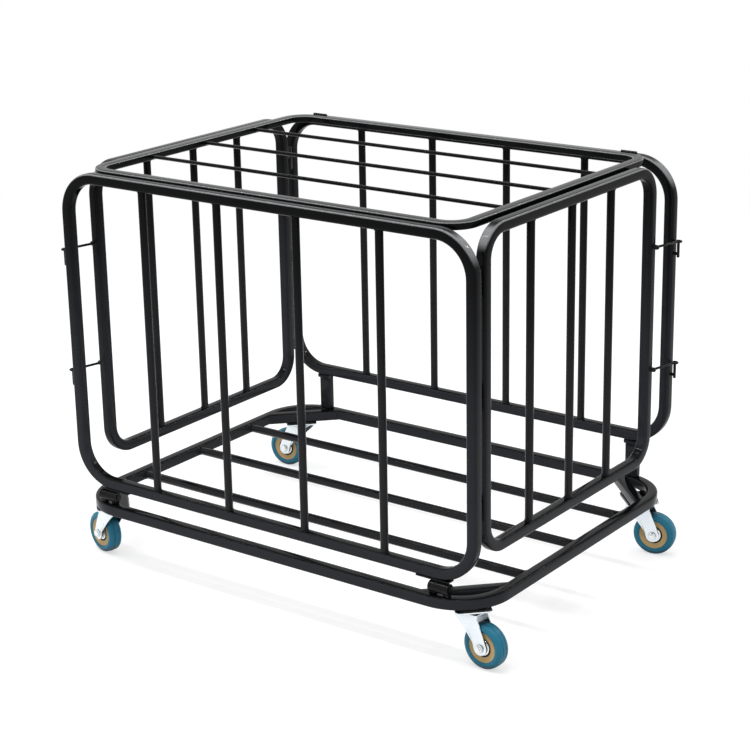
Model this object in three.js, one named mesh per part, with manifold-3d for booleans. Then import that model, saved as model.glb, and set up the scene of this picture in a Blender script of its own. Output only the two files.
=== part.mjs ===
// Folding wire-cage cart on four swivel casters, in millimetres, Z up.
// The floor is z = 0, the front of the cart faces -Y and its length runs along X.
import * as THREE from "three";
import { mergeVertices } from "three/addons/utils/BufferGeometryUtils.js";
import Module from "manifold-3d";

const wasm = await Module();
wasm.setup();

// Overall sizes of the cage.
const LENGTH = 848;
const DEPTH = 630;
const FRONT_HEIGHT = 567;
const TUBE = 19;
const TUBE_ROUND = 4.5;
const BAR = 13.5;

// Base frame.
const BASE_OVERHANG_X = 8;
const BASE_OVERHANG_Y = 10;
const BASE_TUBE = 20;
const BASE_BEND = 95;
const FLOOR_BAR = 15.5;
const BRACE_REACH = 104;
const FRONT_GAP = 26.5;

// Panels.
const PANEL_BEND = 75;
const END_BEND = 55;
const BACK_LIFT = 46.5;
const END_LIFT = 31.5;
const END_INSET = 10;
const HINGE_GAP = 23;
const LATCH_GAP = 38;

// Lid, which lies between the top rails of the front and back panels.
const LID_END_INSET = 39;
const LID_LENGTH = LENGTH - 2 * LID_END_INSET;
const LID_SIDE_GAP = 1.3;
const LID_THICK = 12.7;
const LID_ROUND = 3;
const LID_RISE = 3.3;
const LID_BEND = 48;
const LID_BAR = 6.4;
const LID_BAR_SPACING = 142;
const LID_STOP_X = LENGTH * 0.236;

// Casters.
const WHEEL_RADIUS = 38;
const WHEEL_WIDTH = 25;
const CASTER_HEIGHT = 99;
const CASTER_SLIDE = 5;
const TRAIL = 30;
const PAD_THICK = 3;
const PAD_SIZE = 58;
const PLATE_SIZE = 60;
const PLATE_THICK = 2.5;
const AXLE_RADIUS = 4;

// Hinges and latches.
const PIVOT_RADIUS = 5.5;
const PIVOT_LENGTH = 46;
const PIN_RADIUS = 2.3;
const LID_HINGE_INSET = 89;
const LID_HINGE_X = LENGTH / 2 - LID_HINGE_INSET;
const LID_HINGE_LENGTH = 30;
const LID_HINGE_RADIUS = 2.8;
const LID_PIN_RADIUS = 1.4;
const FRONT_HINGE_INSET = 70;
const FRONT_HINGE_X = LENGTH / 2 - FRONT_HINGE_INSET;
const FRONT_HINGE_LENGTH = 38;
const FRONT_HINGE_RADIUS = 9.5;
const FRONT_LEAF_LENGTH = 63;
const FRONT_LEAF_THICK = 3;
const UPRIGHT_INSET = 76;
const UPRIGHT_X = LENGTH / 2 - UPRIGHT_INSET;
const UPRIGHT_WIDTH = 25;
const LINK_REACH = 56;
const LINK_RADIUS = 2.2;
const EYE_RADIUS = 4.9;
const EYE_WIRE = 1.9;
const PEG_RADIUS = 2.5;
const PEG_STAND = 7.5;
const PEG_LENGTH = 26;

// Clearance between pieces that move on each other, and the overlap used where solids are joined.
const PLAY = 0.3;
const WELD = 0.5;

// Round sections are drawn with this many sides.
const SIDES = 12;
const WHEEL_SIDES = 24;
const BEND_STEPS = 6;

// Shares of the end panel and front panel heights at which fittings sit.
const latchHeightShares = [0.362, 0.747];
const pivotHeightShares = [0.16, 0.5, 0.84];

// Turn of each caster about its upright axis, in degrees, as they stand in the photograph.
const casters = [
  { name: "front_right", x: 1, y: -1, turn: -5 },
  { name: "front_left", x: -1, y: -1, turn: 167 },
  { name: "back_right", x: 1, y: 1, turn: 11 },
  { name: "back_left", x: -1, y: 1, turn: 185 },
];

// Heights that follow from the sizes above.
const baseBottom = CASTER_HEIGHT + PAD_THICK;
const baseTop = baseBottom + BASE_TUBE;
const panelBottom = baseTop + FRONT_GAP;
const panelTop = panelBottom + FRONT_HEIGHT;
const halfLength = LENGTH / 2;
const halfDepth = DEPTH / 2;
const endOuter = halfLength - END_INSET;
const endWidth = DEPTH - 2 * TUBE - HINGE_GAP - LATCH_GAP;
const endCentreY = (HINGE_GAP - LATCH_GAP) / 2;
const pivotX = endOuter - TUBE / 2;
const pivotY = -halfDepth + TUBE + HINGE_GAP / 2;
const baseHalfX = halfLength + BASE_OVERHANG_X;
const baseHalfY = halfDepth + BASE_OVERHANG_Y;
const lidHalfY = halfDepth - TUBE - LID_SIDE_GAP;
const lidTop = panelTop + LID_RISE;

const looks = {
  frame: { color: 0x1d1e20, roughness: 0.34, metalness: 0.0 },
  bar: { color: 0x1a1b1c, roughness: 0.38, metalness: 0.0 },
  fitting: { color: 0x141516, roughness: 0.42, metalness: 0.0 },
  zinc: { color: 0xc9ced3, roughness: 0.3, metalness: 0.9 },
  tyre: { color: 0x1f6282, roughness: 0.55, metalness: 0.0 },
  rim: { color: 0xb98d50, roughness: 0.5, metalness: 0.0 },
  hub: { color: 0xd4d8dc, roughness: 0.32, metalness: 0.85 },
};

const part = new THREE.Group();
part.name = "ball_cart";

function bare(geometry) {
  const copy = geometry.clone();
  copy.deleteAttribute("normal");
  copy.deleteAttribute("uv");
  return mergeVertices(copy, 1e-4);
}

function solidOf(geometry) {
  const plain = bare(geometry);
  return new wasm.Manifold(new wasm.Mesh({
    numProp: 3,
    vertProperties: new Float32Array(plain.attributes.position.array),
    triVerts: new Uint32Array(plain.index.array),
  }));
}

function geometryOf(solid) {
  const mesh = solid.getMesh();
  const geometry = new THREE.BufferGeometry();
  geometry.setAttribute("position", new THREE.BufferAttribute(new Float32Array(mesh.vertProperties), 3));
  geometry.setIndex(new THREE.BufferAttribute(new Uint32Array(mesh.triVerts), 1));
  return geometry;
}

// Joins a list of geometries into one closed body and takes others away from it.
function joined(adds, cuts = []) {
  let solid = solidOf(adds[0]);
  for (const extra of adds.slice(1)) {
    solid = solid.add(solidOf(extra));
  }
  for (const cut of cuts) {
    solid = solid.subtract(solidOf(cut));
  }
  return geometryOf(solid);
}

function place(name, geometry, look) {
  const flat = geometry.index ? geometry.toNonIndexed() : geometry;
  flat.computeVertexNormals();
  const mesh = new THREE.Mesh(flat, new THREE.MeshStandardMaterial(looks[look]));
  mesh.name = name;
  part.add(mesh);
  return mesh;
}

function box(x0, x1, y0, y1, z0, z1) {
  const geometry = new THREE.BoxGeometry(x1 - x0, y1 - y0, z1 - z0);
  geometry.translate((x0 + x1) / 2, (y0 + y1) / 2, (z0 + z1) / 2);
  return geometry;
}

// A round bar from one point to another; both points lie on one of the three axes' directions.
function rod(from, to, radius, sides = SIDES) {
  const a = new THREE.Vector3(...from);
  const b = new THREE.Vector3(...to);
  const run = b.clone().sub(a);
  const geometry = new THREE.CylinderGeometry(radius, radius, run.length(), sides, 1);
  geometry.rotateY(Math.PI / sides);
  const turn = new THREE.Quaternion().setFromUnitVectors(new THREE.Vector3(0, 1, 0), run.clone().normalize());
  geometry.applyQuaternion(turn);
  const middle = a.clone().add(b).multiplyScalar(1 / 2);
  geometry.translate(middle.x, middle.y, middle.z);
  return geometry;
}

// Outline of a tube section: a rectangle with rounded corners, counted anticlockwise.
function sectionPoints(width, height, round) {
  const points = [];
  const centres = [[1, 1], [-1, 1], [-1, -1], [1, -1]];
  centres.forEach(([sx, sy], corner) => {
    for (let step = 0; step < 3; step += 1) {
      const angle = (corner + step / 2) * Math.PI / 2;
      points.push([
        sx * (width / 2 - round) + round * Math.cos(angle),
        sy * (height / 2 - round) + round * Math.sin(angle),
      ]);
    }
  });
  return points;
}

// A closed frame of bent tube lying in the XY plane, centred on the origin.
function bentFrame(width, height, bend, section) {
  const stations = [];
  const mid = section.width / 2;
  const corners = [[1, 1], [-1, 1], [-1, -1], [1, -1]];
  corners.forEach(([sx, sy], corner) => {
    for (let step = 0; step <= BEND_STEPS; step += 1) {
      const angle = (corner + step / BEND_STEPS) * Math.PI / 2;
      stations.push({
        x: sx * (width / 2 - bend),
        y: sy * (height / 2 - bend),
        c: Math.cos(angle),
        s: Math.sin(angle),
      });
    }
  });
  const ring = sectionPoints(section.width, section.height, section.round);
  const positions = [];
  for (const station of stations) {
    for (const [out, up] of ring) {
      const reach = bend - mid + out;
      positions.push(station.x + reach * station.c, station.y + reach * station.s, up);
    }
  }
  const index = [];
  const count = ring.length;
  stations.forEach((_, i) => {
    const next = (i + 1) % stations.length;
    for (let j = 0; j < count; j += 1) {
      const k = (j + 1) % count;
      index.push(i * count + j, next * count + j, next * count + k);
      index.push(i * count + j, next * count + k, i * count + k);
    }
  });
  const geometry = new THREE.BufferGeometry();
  geometry.setAttribute("position", new THREE.BufferAttribute(new Float32Array(positions), 3));
  geometry.setIndex(index);
  return geometry;
}

// A straight piece of rounded tube from one point to another, level, with its top and bottom flat.
function straightTube(from, to, width, height, round) {
  const shape = new THREE.Shape(sectionPoints(width, height, round).map(([x, y]) => new THREE.Vector2(x, y)));
  const run = Math.hypot(to[0] - from[0], to[1] - from[1]);
  const geometry = new THREE.ExtrudeGeometry(shape, { depth: run, bevelEnabled: false, steps: 1 });
  geometry.rotateX(Math.PI / 2);
  geometry.rotateZ(Math.atan2(to[1] - from[1], to[0] - from[0]) + Math.PI / 2);
  geometry.translate(from[0], from[1], from[2]);
  return geometry;
}

// A body of revolution about Z from a profile of [radius, height] points that closes on itself.
function turned(profile, sides = WHEEL_SIDES) {
  const points = profile.map(([r, z]) => new THREE.Vector2(r, z));
  const geometry = new THREE.LatheGeometry(points, sides);
  geometry.rotateX(Math.PI / 2);
  return geometry;
}

function closedRing(points) {
  return [...points, points[0]];
}

const tube = { width: TUBE, height: TUBE, round: TUBE_ROUND };
const baseTube = { width: BASE_TUBE, height: BASE_TUBE, round: TUBE_ROUND };
const lidTube = { width: TUBE, height: LID_THICK, round: LID_ROUND };

// Stands a flat frame up so that its length runs along X.
function standAlongX(geometry, centreY, centreZ) {
  geometry.rotateX(Math.PI / 2);
  geometry.translate(0, centreY, centreZ);
  return geometry;
}

// Stands a flat frame up so that its length runs along Y.
function standAlongY(geometry, centreX, centreY, centreZ) {
  geometry.rotateX(Math.PI / 2);
  geometry.rotateZ(Math.PI / 2);
  geometry.translate(centreX, centreY, centreZ);
  return geometry;
}

function halfTurned(geometry) {
  const copy = geometry.clone();
  copy.rotateZ(Math.PI);
  return copy;
}

// Base frame with its caster pads, its corner braces and the two uprights for the back panel.
const backBottom = panelBottom + BACK_LIFT;
const frontY = -halfDepth + TUBE / 2;
const backY = halfDepth - TUBE / 2;

const baseLoop = bentFrame(baseHalfX * 2, baseHalfY * 2, BASE_BEND, baseTube);
baseLoop.translate(0, 0, baseBottom + BASE_TUBE / 2);

// A caster stands under each bend, its plate turned along the bend and slid a little to the end.
const cornerTurn = Math.PI / 4;
const plateReach = BASE_BEND - PLATE_SIZE / 2;
const casterX = baseHalfX - BASE_BEND + (plateReach + CASTER_SLIDE) * Math.SQRT1_2;
const casterY = baseHalfY - BASE_BEND + (plateReach - CASTER_SLIDE) * Math.SQRT1_2;
const padChamferShare = 0.22;

// The pad lies between the base tube and the caster's plate, with its two outer corners cut off.
function casterPad(spot) {
  const half = PAD_SIZE / 2;
  const cut = PAD_SIZE * padChamferShare;
  const outline = new THREE.Shape([
    new THREE.Vector2(half, half - cut),
    new THREE.Vector2(half - cut, half),
    new THREE.Vector2(-half, half),
    new THREE.Vector2(-half, -half),
    new THREE.Vector2(half - cut, -half),
    new THREE.Vector2(half, cut - half),
  ]);
  const geometry = new THREE.ExtrudeGeometry(outline, { depth: PAD_THICK + WELD, bevelEnabled: false });
  geometry.rotateZ(Math.atan2(spot.y, spot.x));
  geometry.translate(spot.x * casterX, spot.y * casterY, baseBottom - PAD_THICK);
  return geometry;
}

const uprightDepth = TUBE * 0.76;
const uprightBack = halfDepth + BASE_OVERHANG_Y / 2;
const lipRadius = TUBE * 0.26;

function backUpright(side) {
  const x = side * UPRIGHT_X;
  const wall = UPRIGHT_WIDTH / 2;
  return [
    box(x - wall, x + wall, uprightBack - uprightDepth, uprightBack, baseTop - WELD, backBottom - lipRadius),
    rod([x - wall, backY, backBottom - lipRadius], [x + wall, backY, backBottom - lipRadius], lipRadius),
  ];
}

// Corner brace at 45 degrees, cut off inside the rails that it is welded to.
function cornerBrace(spot) {
  const z = baseBottom + BASE_TUBE / 2;
  const far = BRACE_REACH + BASE_TUBE;
  const from = [spot.x * (baseHalfX - far - BASE_TUBE), spot.y * (baseHalfY + BASE_TUBE), z];
  const to = [spot.x * (baseHalfX + BASE_TUBE), spot.y * (baseHalfY - far - BASE_TUBE), z];
  const bar = straightTube(from, to, BASE_TUBE, BASE_TUBE, TUBE_ROUND);
  const keepX = baseHalfX - BASE_TUBE / 2;
  const keepY = baseHalfY - BASE_TUBE / 2;
  const low = z - BASE_TUBE;
  const high = z + BASE_TUBE;
  const sideCut = spot.x > 0 ? box(keepX, LENGTH, -LENGTH, LENGTH, low, high)
    : box(-LENGTH, -keepX, -LENGTH, LENGTH, low, high);
  const endCut = spot.y > 0 ? box(-LENGTH, LENGTH, keepY, LENGTH, low, high)
    : box(-LENGTH, LENGTH, -LENGTH, -keepY, low, high);
  return joined([bar], [sideCut, endCut]);
}

const pads = casters.map(casterPad);
const uprights = [-1, 1].flatMap(backUpright);
const braces = casters.map(cornerBrace);
place("base_frame", joined([baseLoop, ...pads, ...uprights, ...braces]), "frame");

// Three round floor bars along the length, between the inner faces of the end rails.
const floorInner = baseHalfX - BASE_TUBE;
const floorSpacing = (baseHalfY * 2 - BASE_TUBE * 2) / 4;
for (let i = 0; i < 3; i += 1) {
  const y = (i - 1) * floorSpacing;
  const z = baseBottom + BASE_TUBE / 2;
  place(`floor_bar_${i + 1}`, rod([-floorInner, y, z], [floorInner, y, z], FLOOR_BAR / 2), "bar");
}

// Knuckle of an upright corner hinge: a barrel length and the web that joins it to its post.
function pivotKnuckle(z0, z1, webX0, webX1, webY0, webY1) {
  return [
    rod([pivotX, pivotY, z0], [pivotX, pivotY, z1], PIVOT_RADIUS),
    box(webX0, webX1, webY0, webY1, z0, z1),
  ];
}

const endBottom = panelBottom + END_LIFT;
const endHeight = panelTop - endBottom;
const pivotHeights = pivotHeightShares.map((share) => endBottom + share * endHeight);
const latchHeights = latchHeightShares.map((share) => panelBottom + share * FRONT_HEIGHT);

// Parts of the corner hinges on the fixed post: lower knuckle and the pin that stands up from it.
function fixedPivots() {
  const pieces = [];
  const web = TUBE * 0.45;
  for (const z of pivotHeights) {
    pieces.push(...pivotKnuckle(
      z - PIVOT_LENGTH / 2, z - PLAY / 2,
      pivotX, pivotX + web, -halfDepth + TUBE - WELD, pivotY,
    ));
    pieces.push(rod([pivotX, pivotY, z - PLAY], [pivotX, pivotY, z + PIVOT_LENGTH / 2], PIN_RADIUS));
  }
  return pieces;
}

// Upper knuckles on the end panel, each bored for the pin.
function movingPivots() {
  const pieces = [];
  const bores = [];
  const web = TUBE * 0.24;
  for (const z of pivotHeights) {
    pieces.push(...pivotKnuckle(
      z + PLAY / 2, z + PIVOT_LENGTH / 2,
      pivotX - web, pivotX + web, pivotY, -halfDepth + TUBE + HINGE_GAP + WELD,
    ));
    bores.push(rod(
      [pivotX, pivotY, z - PIVOT_LENGTH],
      [pivotX, pivotY, z + PIVOT_LENGTH],
      PIN_RADIUS + PLAY * 1.5,
    ));
  }
  return { pieces, bores };
}

// Places of the latch: a stud on the end panel's far post and a peg on the neighbour's post.
const studY = endCentreY + endWidth / 2 - TUBE / 2;
const collarRadius = LINK_RADIUS * 1.9;
const collarHalf = LINK_RADIUS * 1.5;
const linkX = endOuter + WELD * 2 + PLAY + collarHalf;
const studHead = LINK_RADIUS * 0.8;
const studRadius = collarRadius * 0.8;
const pegX = halfLength + PEG_STAND;
const pegY = studY + LINK_REACH;

function latchStuds() {
  return latchHeights.flatMap((z) => [
    rod([endOuter - WELD, studY, z], [linkX - collarHalf - PLAY, studY, z], studRadius),
    rod([endOuter, studY, z], [linkX + collarHalf + PLAY + studHead / 2, studY, z], PIN_RADIUS),
    rod(
      [linkX + collarHalf + PLAY, studY, z],
      [linkX + collarHalf + PLAY + studHead, studY, z],
      studRadius,
    ),
  ]);
}

// Upright peg with both ends tapered to half its radius.
function latchPeg(foot, top) {
  const taper = PEG_RADIUS / 2;
  const peg = turned([
    [0, foot], [taper, foot], [PEG_RADIUS, foot + taper],
    [PEG_RADIUS, top - taper], [taper, top], [0, top],
  ], SIDES);
  peg.translate(pegX, pegY, 0);
  return peg;
}

// The peg stands on a short bracket on the post, and its top is just below the link's eye.
function latchPegOnBracket(z) {
  const top = z - EYE_WIRE - PLAY * 2;
  const foot = top - PEG_LENGTH;
  const bracket = box(
    halfLength, pegX + PEG_RADIUS * 0.8,
    pegY - PEG_RADIUS * 0.8, pegY + PEG_RADIUS * 0.8,
    foot + PEG_LENGTH * 0.15, foot + PEG_LENGTH * 0.35,
  );
  return joined([latchPeg(foot, top), bracket]);
}

// Front panel, which carries the right end panel's pins and the lid's stops.
const frontLoop = standAlongX(bentFrame(LENGTH, FRONT_HEIGHT, PANEL_BEND, tube), frontY, panelBottom + FRONT_HEIGHT / 2);
const lidBottom = lidTop - LID_THICK;
const stopThick = PAD_THICK;
const stops = [-1, 1].map((side) => box(
  side * LID_STOP_X - TUBE, side * LID_STOP_X + TUBE,
  -halfDepth + TUBE - WELD, -halfDepth + TUBE * 1.6,
  lidBottom - PLAY - stopThick, lidBottom - PLAY,
));
place("front_frame", joined([frontLoop, ...fixedPivots(), ...stops]), "frame");

// Lid hinge: outer knuckles and pin on the back panel, middle knuckle and leaf on the lid.
const lidPivotY = halfDepth - TUBE + LID_SIDE_GAP * 1.2;
const lidPivotZ = panelTop + LID_HINGE_RADIUS;
const outerKnuckleShare = 0.25;
const lidKnuckle = LID_HINGE_LENGTH * outerKnuckleShare;

function fixedLidHinge(side) {
  const x = side * LID_HINGE_X;
  const half = LID_HINGE_LENGTH / 2;
  const pieces = [];
  for (const end of [-1, 1]) {
    const x0 = Math.min(end * half, end * (half - lidKnuckle)) + x;
    const x1 = x0 + lidKnuckle;
    pieces.push(rod([x0, lidPivotY, lidPivotZ], [x1, lidPivotY, lidPivotZ], LID_HINGE_RADIUS));
    pieces.push(box(
      x0, x1, lidPivotY - LID_HINGE_RADIUS * 0.14, lidPivotY + LID_HINGE_RADIUS * 2,
      panelTop - TUBE_ROUND * 0.78, lidPivotZ - LID_HINGE_RADIUS * 0.4,
    ));
  }
  pieces.push(rod(
    [x - half - WELD, lidPivotY, lidPivotZ],
    [x + half + WELD, lidPivotY, lidPivotZ],
    LID_PIN_RADIUS,
  ));
  return pieces;
}

const backHeight = panelTop - backBottom;
const backLoop = standAlongX(bentFrame(LENGTH, backHeight, PANEL_BEND, tube), backY, backBottom + backHeight / 2);
place("back_frame", joined([
  backLoop,
  ...fixedPivots().map(halfTurned),
  ...fixedLidHinge(-1),
  ...fixedLidHinge(1),
]), "frame");

// Four upright bars each in the front and back panels.
const longSpacing = (LENGTH - 2 * TUBE) / 5;
for (let i = 0; i < 4; i += 1) {
  const x = (i - 1.5) * longSpacing;
  place(`front_bar_${i + 1}`, rod(
    [x, frontY, panelBottom + TUBE], [x, frontY, panelTop - TUBE], BAR / 2), "bar");
  place(`back_bar_${i + 1}`, rod(
    [x, backY, backBottom + TUBE], [x, backY, panelTop - TUBE], BAR / 2), "bar");
}

// End panels: the left one is the right one turned half round.
const endLoop = standAlongY(bentFrame(endWidth, endHeight, END_BEND, tube), pivotX, endCentreY, endBottom + endHeight / 2);
const swing = movingPivots();
const endPanel = joined([endLoop, ...swing.pieces, ...latchStuds()], swing.bores);
place("right_frame", endPanel.clone(), "frame");
place("left_frame", halfTurned(endPanel), "frame");

const endSpacing = (endWidth - 2 * TUBE) / 4;
for (let i = 0; i < 3; i += 1) {
  const y = endCentreY + (i - 1) * endSpacing;
  const bar = rod([pivotX, y, endBottom + TUBE], [pivotX, y, panelTop - TUBE], BAR / 2);
  place(`right_bar_${i + 1}`, bar, "bar");
  place(`left_bar_${i + 1}`, halfTurned(bar), "bar");
}

// Lid with the hinge leaves on its back rail.
const lidLoop = bentFrame(LID_LENGTH, lidHalfY * 2, LID_BEND, lidTube);
lidLoop.translate(0, 0, lidTop - LID_THICK / 2);
const leafThick = LID_HINGE_RADIUS * 0.9;
const lidLeaves = [];
const lidBores = [];
for (const side of [-1, 1]) {
  const x = side * LID_HINGE_X;
  const half = LID_HINGE_LENGTH / 2 - lidKnuckle - PLAY;
  lidLeaves.push(rod([x - half, lidPivotY, lidPivotZ], [x + half, lidPivotY, lidPivotZ], LID_HINGE_RADIUS));
  lidLeaves.push(box(x - half, x + half, lidHalfY - TUBE * 0.3, lidPivotY, lidTop - leafThick, lidTop));
  lidBores.push(rod(
    [x - LID_HINGE_LENGTH, lidPivotY, lidPivotZ],
    [x + LID_HINGE_LENGTH, lidPivotY, lidPivotZ],
    LID_PIN_RADIUS + PLAY * 1.5,
  ));
}
place("lid_frame", joined([lidLoop, ...lidLeaves], lidBores), "frame");
const lidInnerX = LID_LENGTH / 2 - TUBE;
for (let i = 0; i < 3; i += 1) {
  const y = (i - 1) * LID_BAR_SPACING;
  const z = lidTop - LID_THICK / 2;
  place(`lid_bar_${i + 1}`, rod([-lidInnerX, y, z], [lidInnerX, y, z], LID_BAR / 2), "bar");
}

// Latch link: a collar that turns on the stud, a straight arm and an eye at its end.
function latchLink() {
  const reach = [pegX - linkX, pegY - studY];
  const share = 1 - EYE_RADIUS / Math.hypot(...reach);
  const wire = [];
  for (let i = 0; i < SIDES; i += 1) {
    const angle = (i + 1 / 2) / SIDES * 2 * Math.PI;
    wire.push([EYE_RADIUS + EYE_WIRE * Math.cos(angle), EYE_WIRE * Math.sin(angle)]);
  }
  const eye = turned(closedRing(wire));
  eye.translate(reach[0], reach[1], 0);
  const arm = rod([0, 0, 0], [reach[0] * share, reach[1] * share, 0], LINK_RADIUS);
  const collar = rod([-collarHalf, 0, 0], [collarHalf, 0, 0], collarRadius);
  const bore = rod([-TUBE, 0, 0], [TUBE, 0, 0], PIN_RADIUS + PLAY * 1.5);
  return joined([collar, arm, eye], [bore]);
}

latchHeights.forEach((z, i) => {
  const level = i === 0 ? "lower" : "upper";
  const link = latchLink();
  link.translate(linkX, studY, z);
  const peg = latchPegOnBracket(z);
  place(`latch_right_${level}`, link, "fitting");
  place(`latch_left_${level}`, halfTurned(link), "fitting");
  place(`latch_peg_right_${level}`, peg, "fitting");
  place(`latch_peg_left_${level}`, halfTurned(peg), "fitting");
});

// Front hinges between the base's front rail and the front panel's bottom rail.
const frontHingeZ = (baseTop + panelBottom) / 2;
const frontHingeY = -halfDepth + TUBE * 0.2;
function frontHinge(side) {
  const x = side * FRONT_HINGE_X;
  const half = FRONT_HINGE_LENGTH / 2;
  const groove = PLAY * 2;
  const third = FRONT_HINGE_LENGTH / 3;
  const r = FRONT_HINGE_RADIUS;
  const pin = r * 0.42;
  const barrel = turned([
    [0, -half - pin / 2], [pin, -half - pin / 2], [pin, -half], [r * 0.9, -half], [r, -half + r * 0.1],
    [r, -third / 2 - groove], [r - groove, -third / 2 - groove], [r - groove, -third / 2], [r, -third / 2],
    [r, third / 2], [r - groove, third / 2], [r - groove, third / 2 + groove], [r, third / 2 + groove],
    [r, half - r * 0.1], [r * 0.9, half], [pin, half], [pin, half + pin / 2], [0, half + pin / 2],
  ], SIDES);
  barrel.rotateY(Math.PI / 2);
  barrel.translate(x, frontHingeY, frontHingeZ);
  const web = r * 0.45;
  const pieces = [barrel];
  pieces.push(box(x - third / 2, x + third / 2, frontHingeY + web / 4, frontHingeY + web * 2, frontHingeZ, panelBottom));
  const leafEnd = x + side * half * 0.9;
  const leafStart = leafEnd - side * FRONT_LEAF_LENGTH;
  pieces.push(box(
    Math.min(leafStart, leafEnd), Math.max(leafStart, leafEnd),
    -halfDepth + TUBE * 0.1, -halfDepth + TUBE * 0.9,
    panelBottom - FRONT_LEAF_THICK, panelBottom,
  ));
  for (const end of [-1, 1]) {
    const x0 = x + end * (half + third / 2 + groove) / 2 - third / 2.4;
    pieces.push(box(x0, x0 + third / 1.2, frontHingeY - web, frontHingeY + web, baseTop, frontHingeZ));
  }
  return joined(pieces);
}
place("front_hinge_left", frontHinge(-1), "fitting");
place("front_hinge_right", frontHinge(1), "fitting");

// Caster pieces, built about the upright swivel axis with the wheel trailing towards +X.
const plateBottom = CASTER_HEIGHT - PLATE_THICK;
const racewayDrop = 4;
const racewayRadius = 21;
const crownTop = plateBottom - racewayDrop - PLAY;
const crownThick = 3;
const legInner = WHEEL_WIDTH / 2 + 2.2;
const legThick = 2.5;
const boltSpread = PLATE_SIZE / 2 - 9;

function casterPlate() {
  const half = PLATE_SIZE / 2;
  const pieces = [
    box(-half, half, -half, half, plateBottom, CASTER_HEIGHT),
    turned([
      [0, plateBottom - racewayDrop], [racewayRadius * 0.86, plateBottom - racewayDrop],
      [racewayRadius, plateBottom - racewayDrop / 2], [racewayRadius, plateBottom + WELD], [0, plateBottom + WELD],
    ], SIDES * 2),
  ];
  for (const sx of [-1, 1]) {
    for (const sy of [-1, 1]) {
      pieces.push(rod(
        [sx * boltSpread, sy * boltSpread, plateBottom - 3],
        [sx * boltSpread, sy * boltSpread, plateBottom + WELD],
        5, 6,
      ));
    }
  }
  return pieces;
}

// One fork leg: wide under the crown, narrowing to a round end about the axle.
function forkLeg(side) {
  const eye = 12;
  const outline = new THREE.Shape();
  outline.moveTo(-racewayRadius, crownTop);
  outline.lineTo(-racewayRadius, crownTop - crownThick * 3);
  outline.lineTo(TRAIL - eye * 0.95, WHEEL_RADIUS + eye * 0.35);
  outline.absarc(TRAIL, WHEEL_RADIUS, eye, Math.PI * 0.9, Math.PI * 2.1, false);
  outline.lineTo(TRAIL + eye * 0.95, WHEEL_RADIUS + eye);
  outline.lineTo(racewayRadius * 1.1, crownTop - crownThick * 3);
  outline.lineTo(racewayRadius * 1.1, crownTop);
  outline.closePath();
  const geometry = new THREE.ExtrudeGeometry(outline, { depth: legThick, bevelEnabled: false, curveSegments: 6 });
  geometry.rotateX(Math.PI / 2);
  geometry.translate(0, side > 0 ? legInner + legThick : -legInner, 0);
  return geometry;
}

function casterFork() {
  const wide = legInner + legThick;
  const crown = box(-racewayRadius, racewayRadius * 1.1, -wide, wide, crownTop - crownThick, crownTop);
  const bore = rod([TRAIL, -LENGTH, WHEEL_RADIUS], [TRAIL, LENGTH, WHEEL_RADIUS], AXLE_RADIUS + PLAY);
  return joined([crown, forkLeg(1), forkLeg(-1)], [bore]);
}

// Axle bolt with its head and nut outside the legs, along Y.
function casterAxle() {
  const out = legInner + legThick;
  const head = 4.5;
  return joined([
    rod([TRAIL, -out - head * 1.4, WHEEL_RADIUS], [TRAIL, out + head, WHEEL_RADIUS], AXLE_RADIUS),
    rod([TRAIL, -out - head, WHEEL_RADIUS], [TRAIL, -out, WHEEL_RADIUS], AXLE_RADIUS * 1.7, 6),
    rod([TRAIL, out, WHEEL_RADIUS], [TRAIL, out + head, WHEEL_RADIUS], AXLE_RADIUS * 1.7, 6),
  ]);
}

// Turns a body of revolution about Z so that it lies on the axle.
function onAxle(geometry) {
  geometry.rotateX(Math.PI / 2);
  geometry.translate(TRAIL, 0, WHEEL_RADIUS);
  return geometry;
}

const treadShares = [[1, 0.22], [0.975, 0.66], [0.9, 0.92], [0.8, 1]];
const rimOuterShare = 0.68;
const rimInnerShare = 0.42;

const tyreRing = () => {
  const half = WHEEL_WIDTH / 2;
  const inner = WHEEL_RADIUS * rimOuterShare;
  const rising = treadShares.map(([r, w]) => [WHEEL_RADIUS * r, half * w]);
  const falling = [...treadShares].reverse().map(([r, w]) => [WHEEL_RADIUS * r, -half * w]);
  return closedRing([[inner, -half * 0.9], ...falling, ...rising, [inner, half * 0.9]]);
};

const rimRing = () => {
  const half = WHEEL_WIDTH / 2;
  const outer = WHEEL_RADIUS * rimOuterShare;
  const inner = WHEEL_RADIUS * rimInnerShare;
  return closedRing([
    [inner, -half * 0.7], [outer * 0.9, -half * 0.74], [outer, -half * 0.82],
    [outer, half * 0.82], [outer * 0.9, half * 0.74], [inner, half * 0.7],
  ]);
};

const hubRing = () => {
  const half = WHEEL_WIDTH / 2;
  const outer = WHEEL_RADIUS * rimInnerShare;
  const bore = AXLE_RADIUS + PLAY;
  const cap = legInner - PLAY;
  return closedRing([
    [bore, -cap], [outer * 0.5, -cap], [outer * 0.56, -half * 0.9], [outer * 0.88, -half * 0.8],
    [outer, -half * 0.6], [outer, half * 0.6], [outer * 0.88, half * 0.8], [outer * 0.56, half * 0.9],
    [outer * 0.5, cap], [bore, cap],
  ]);
};

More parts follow.
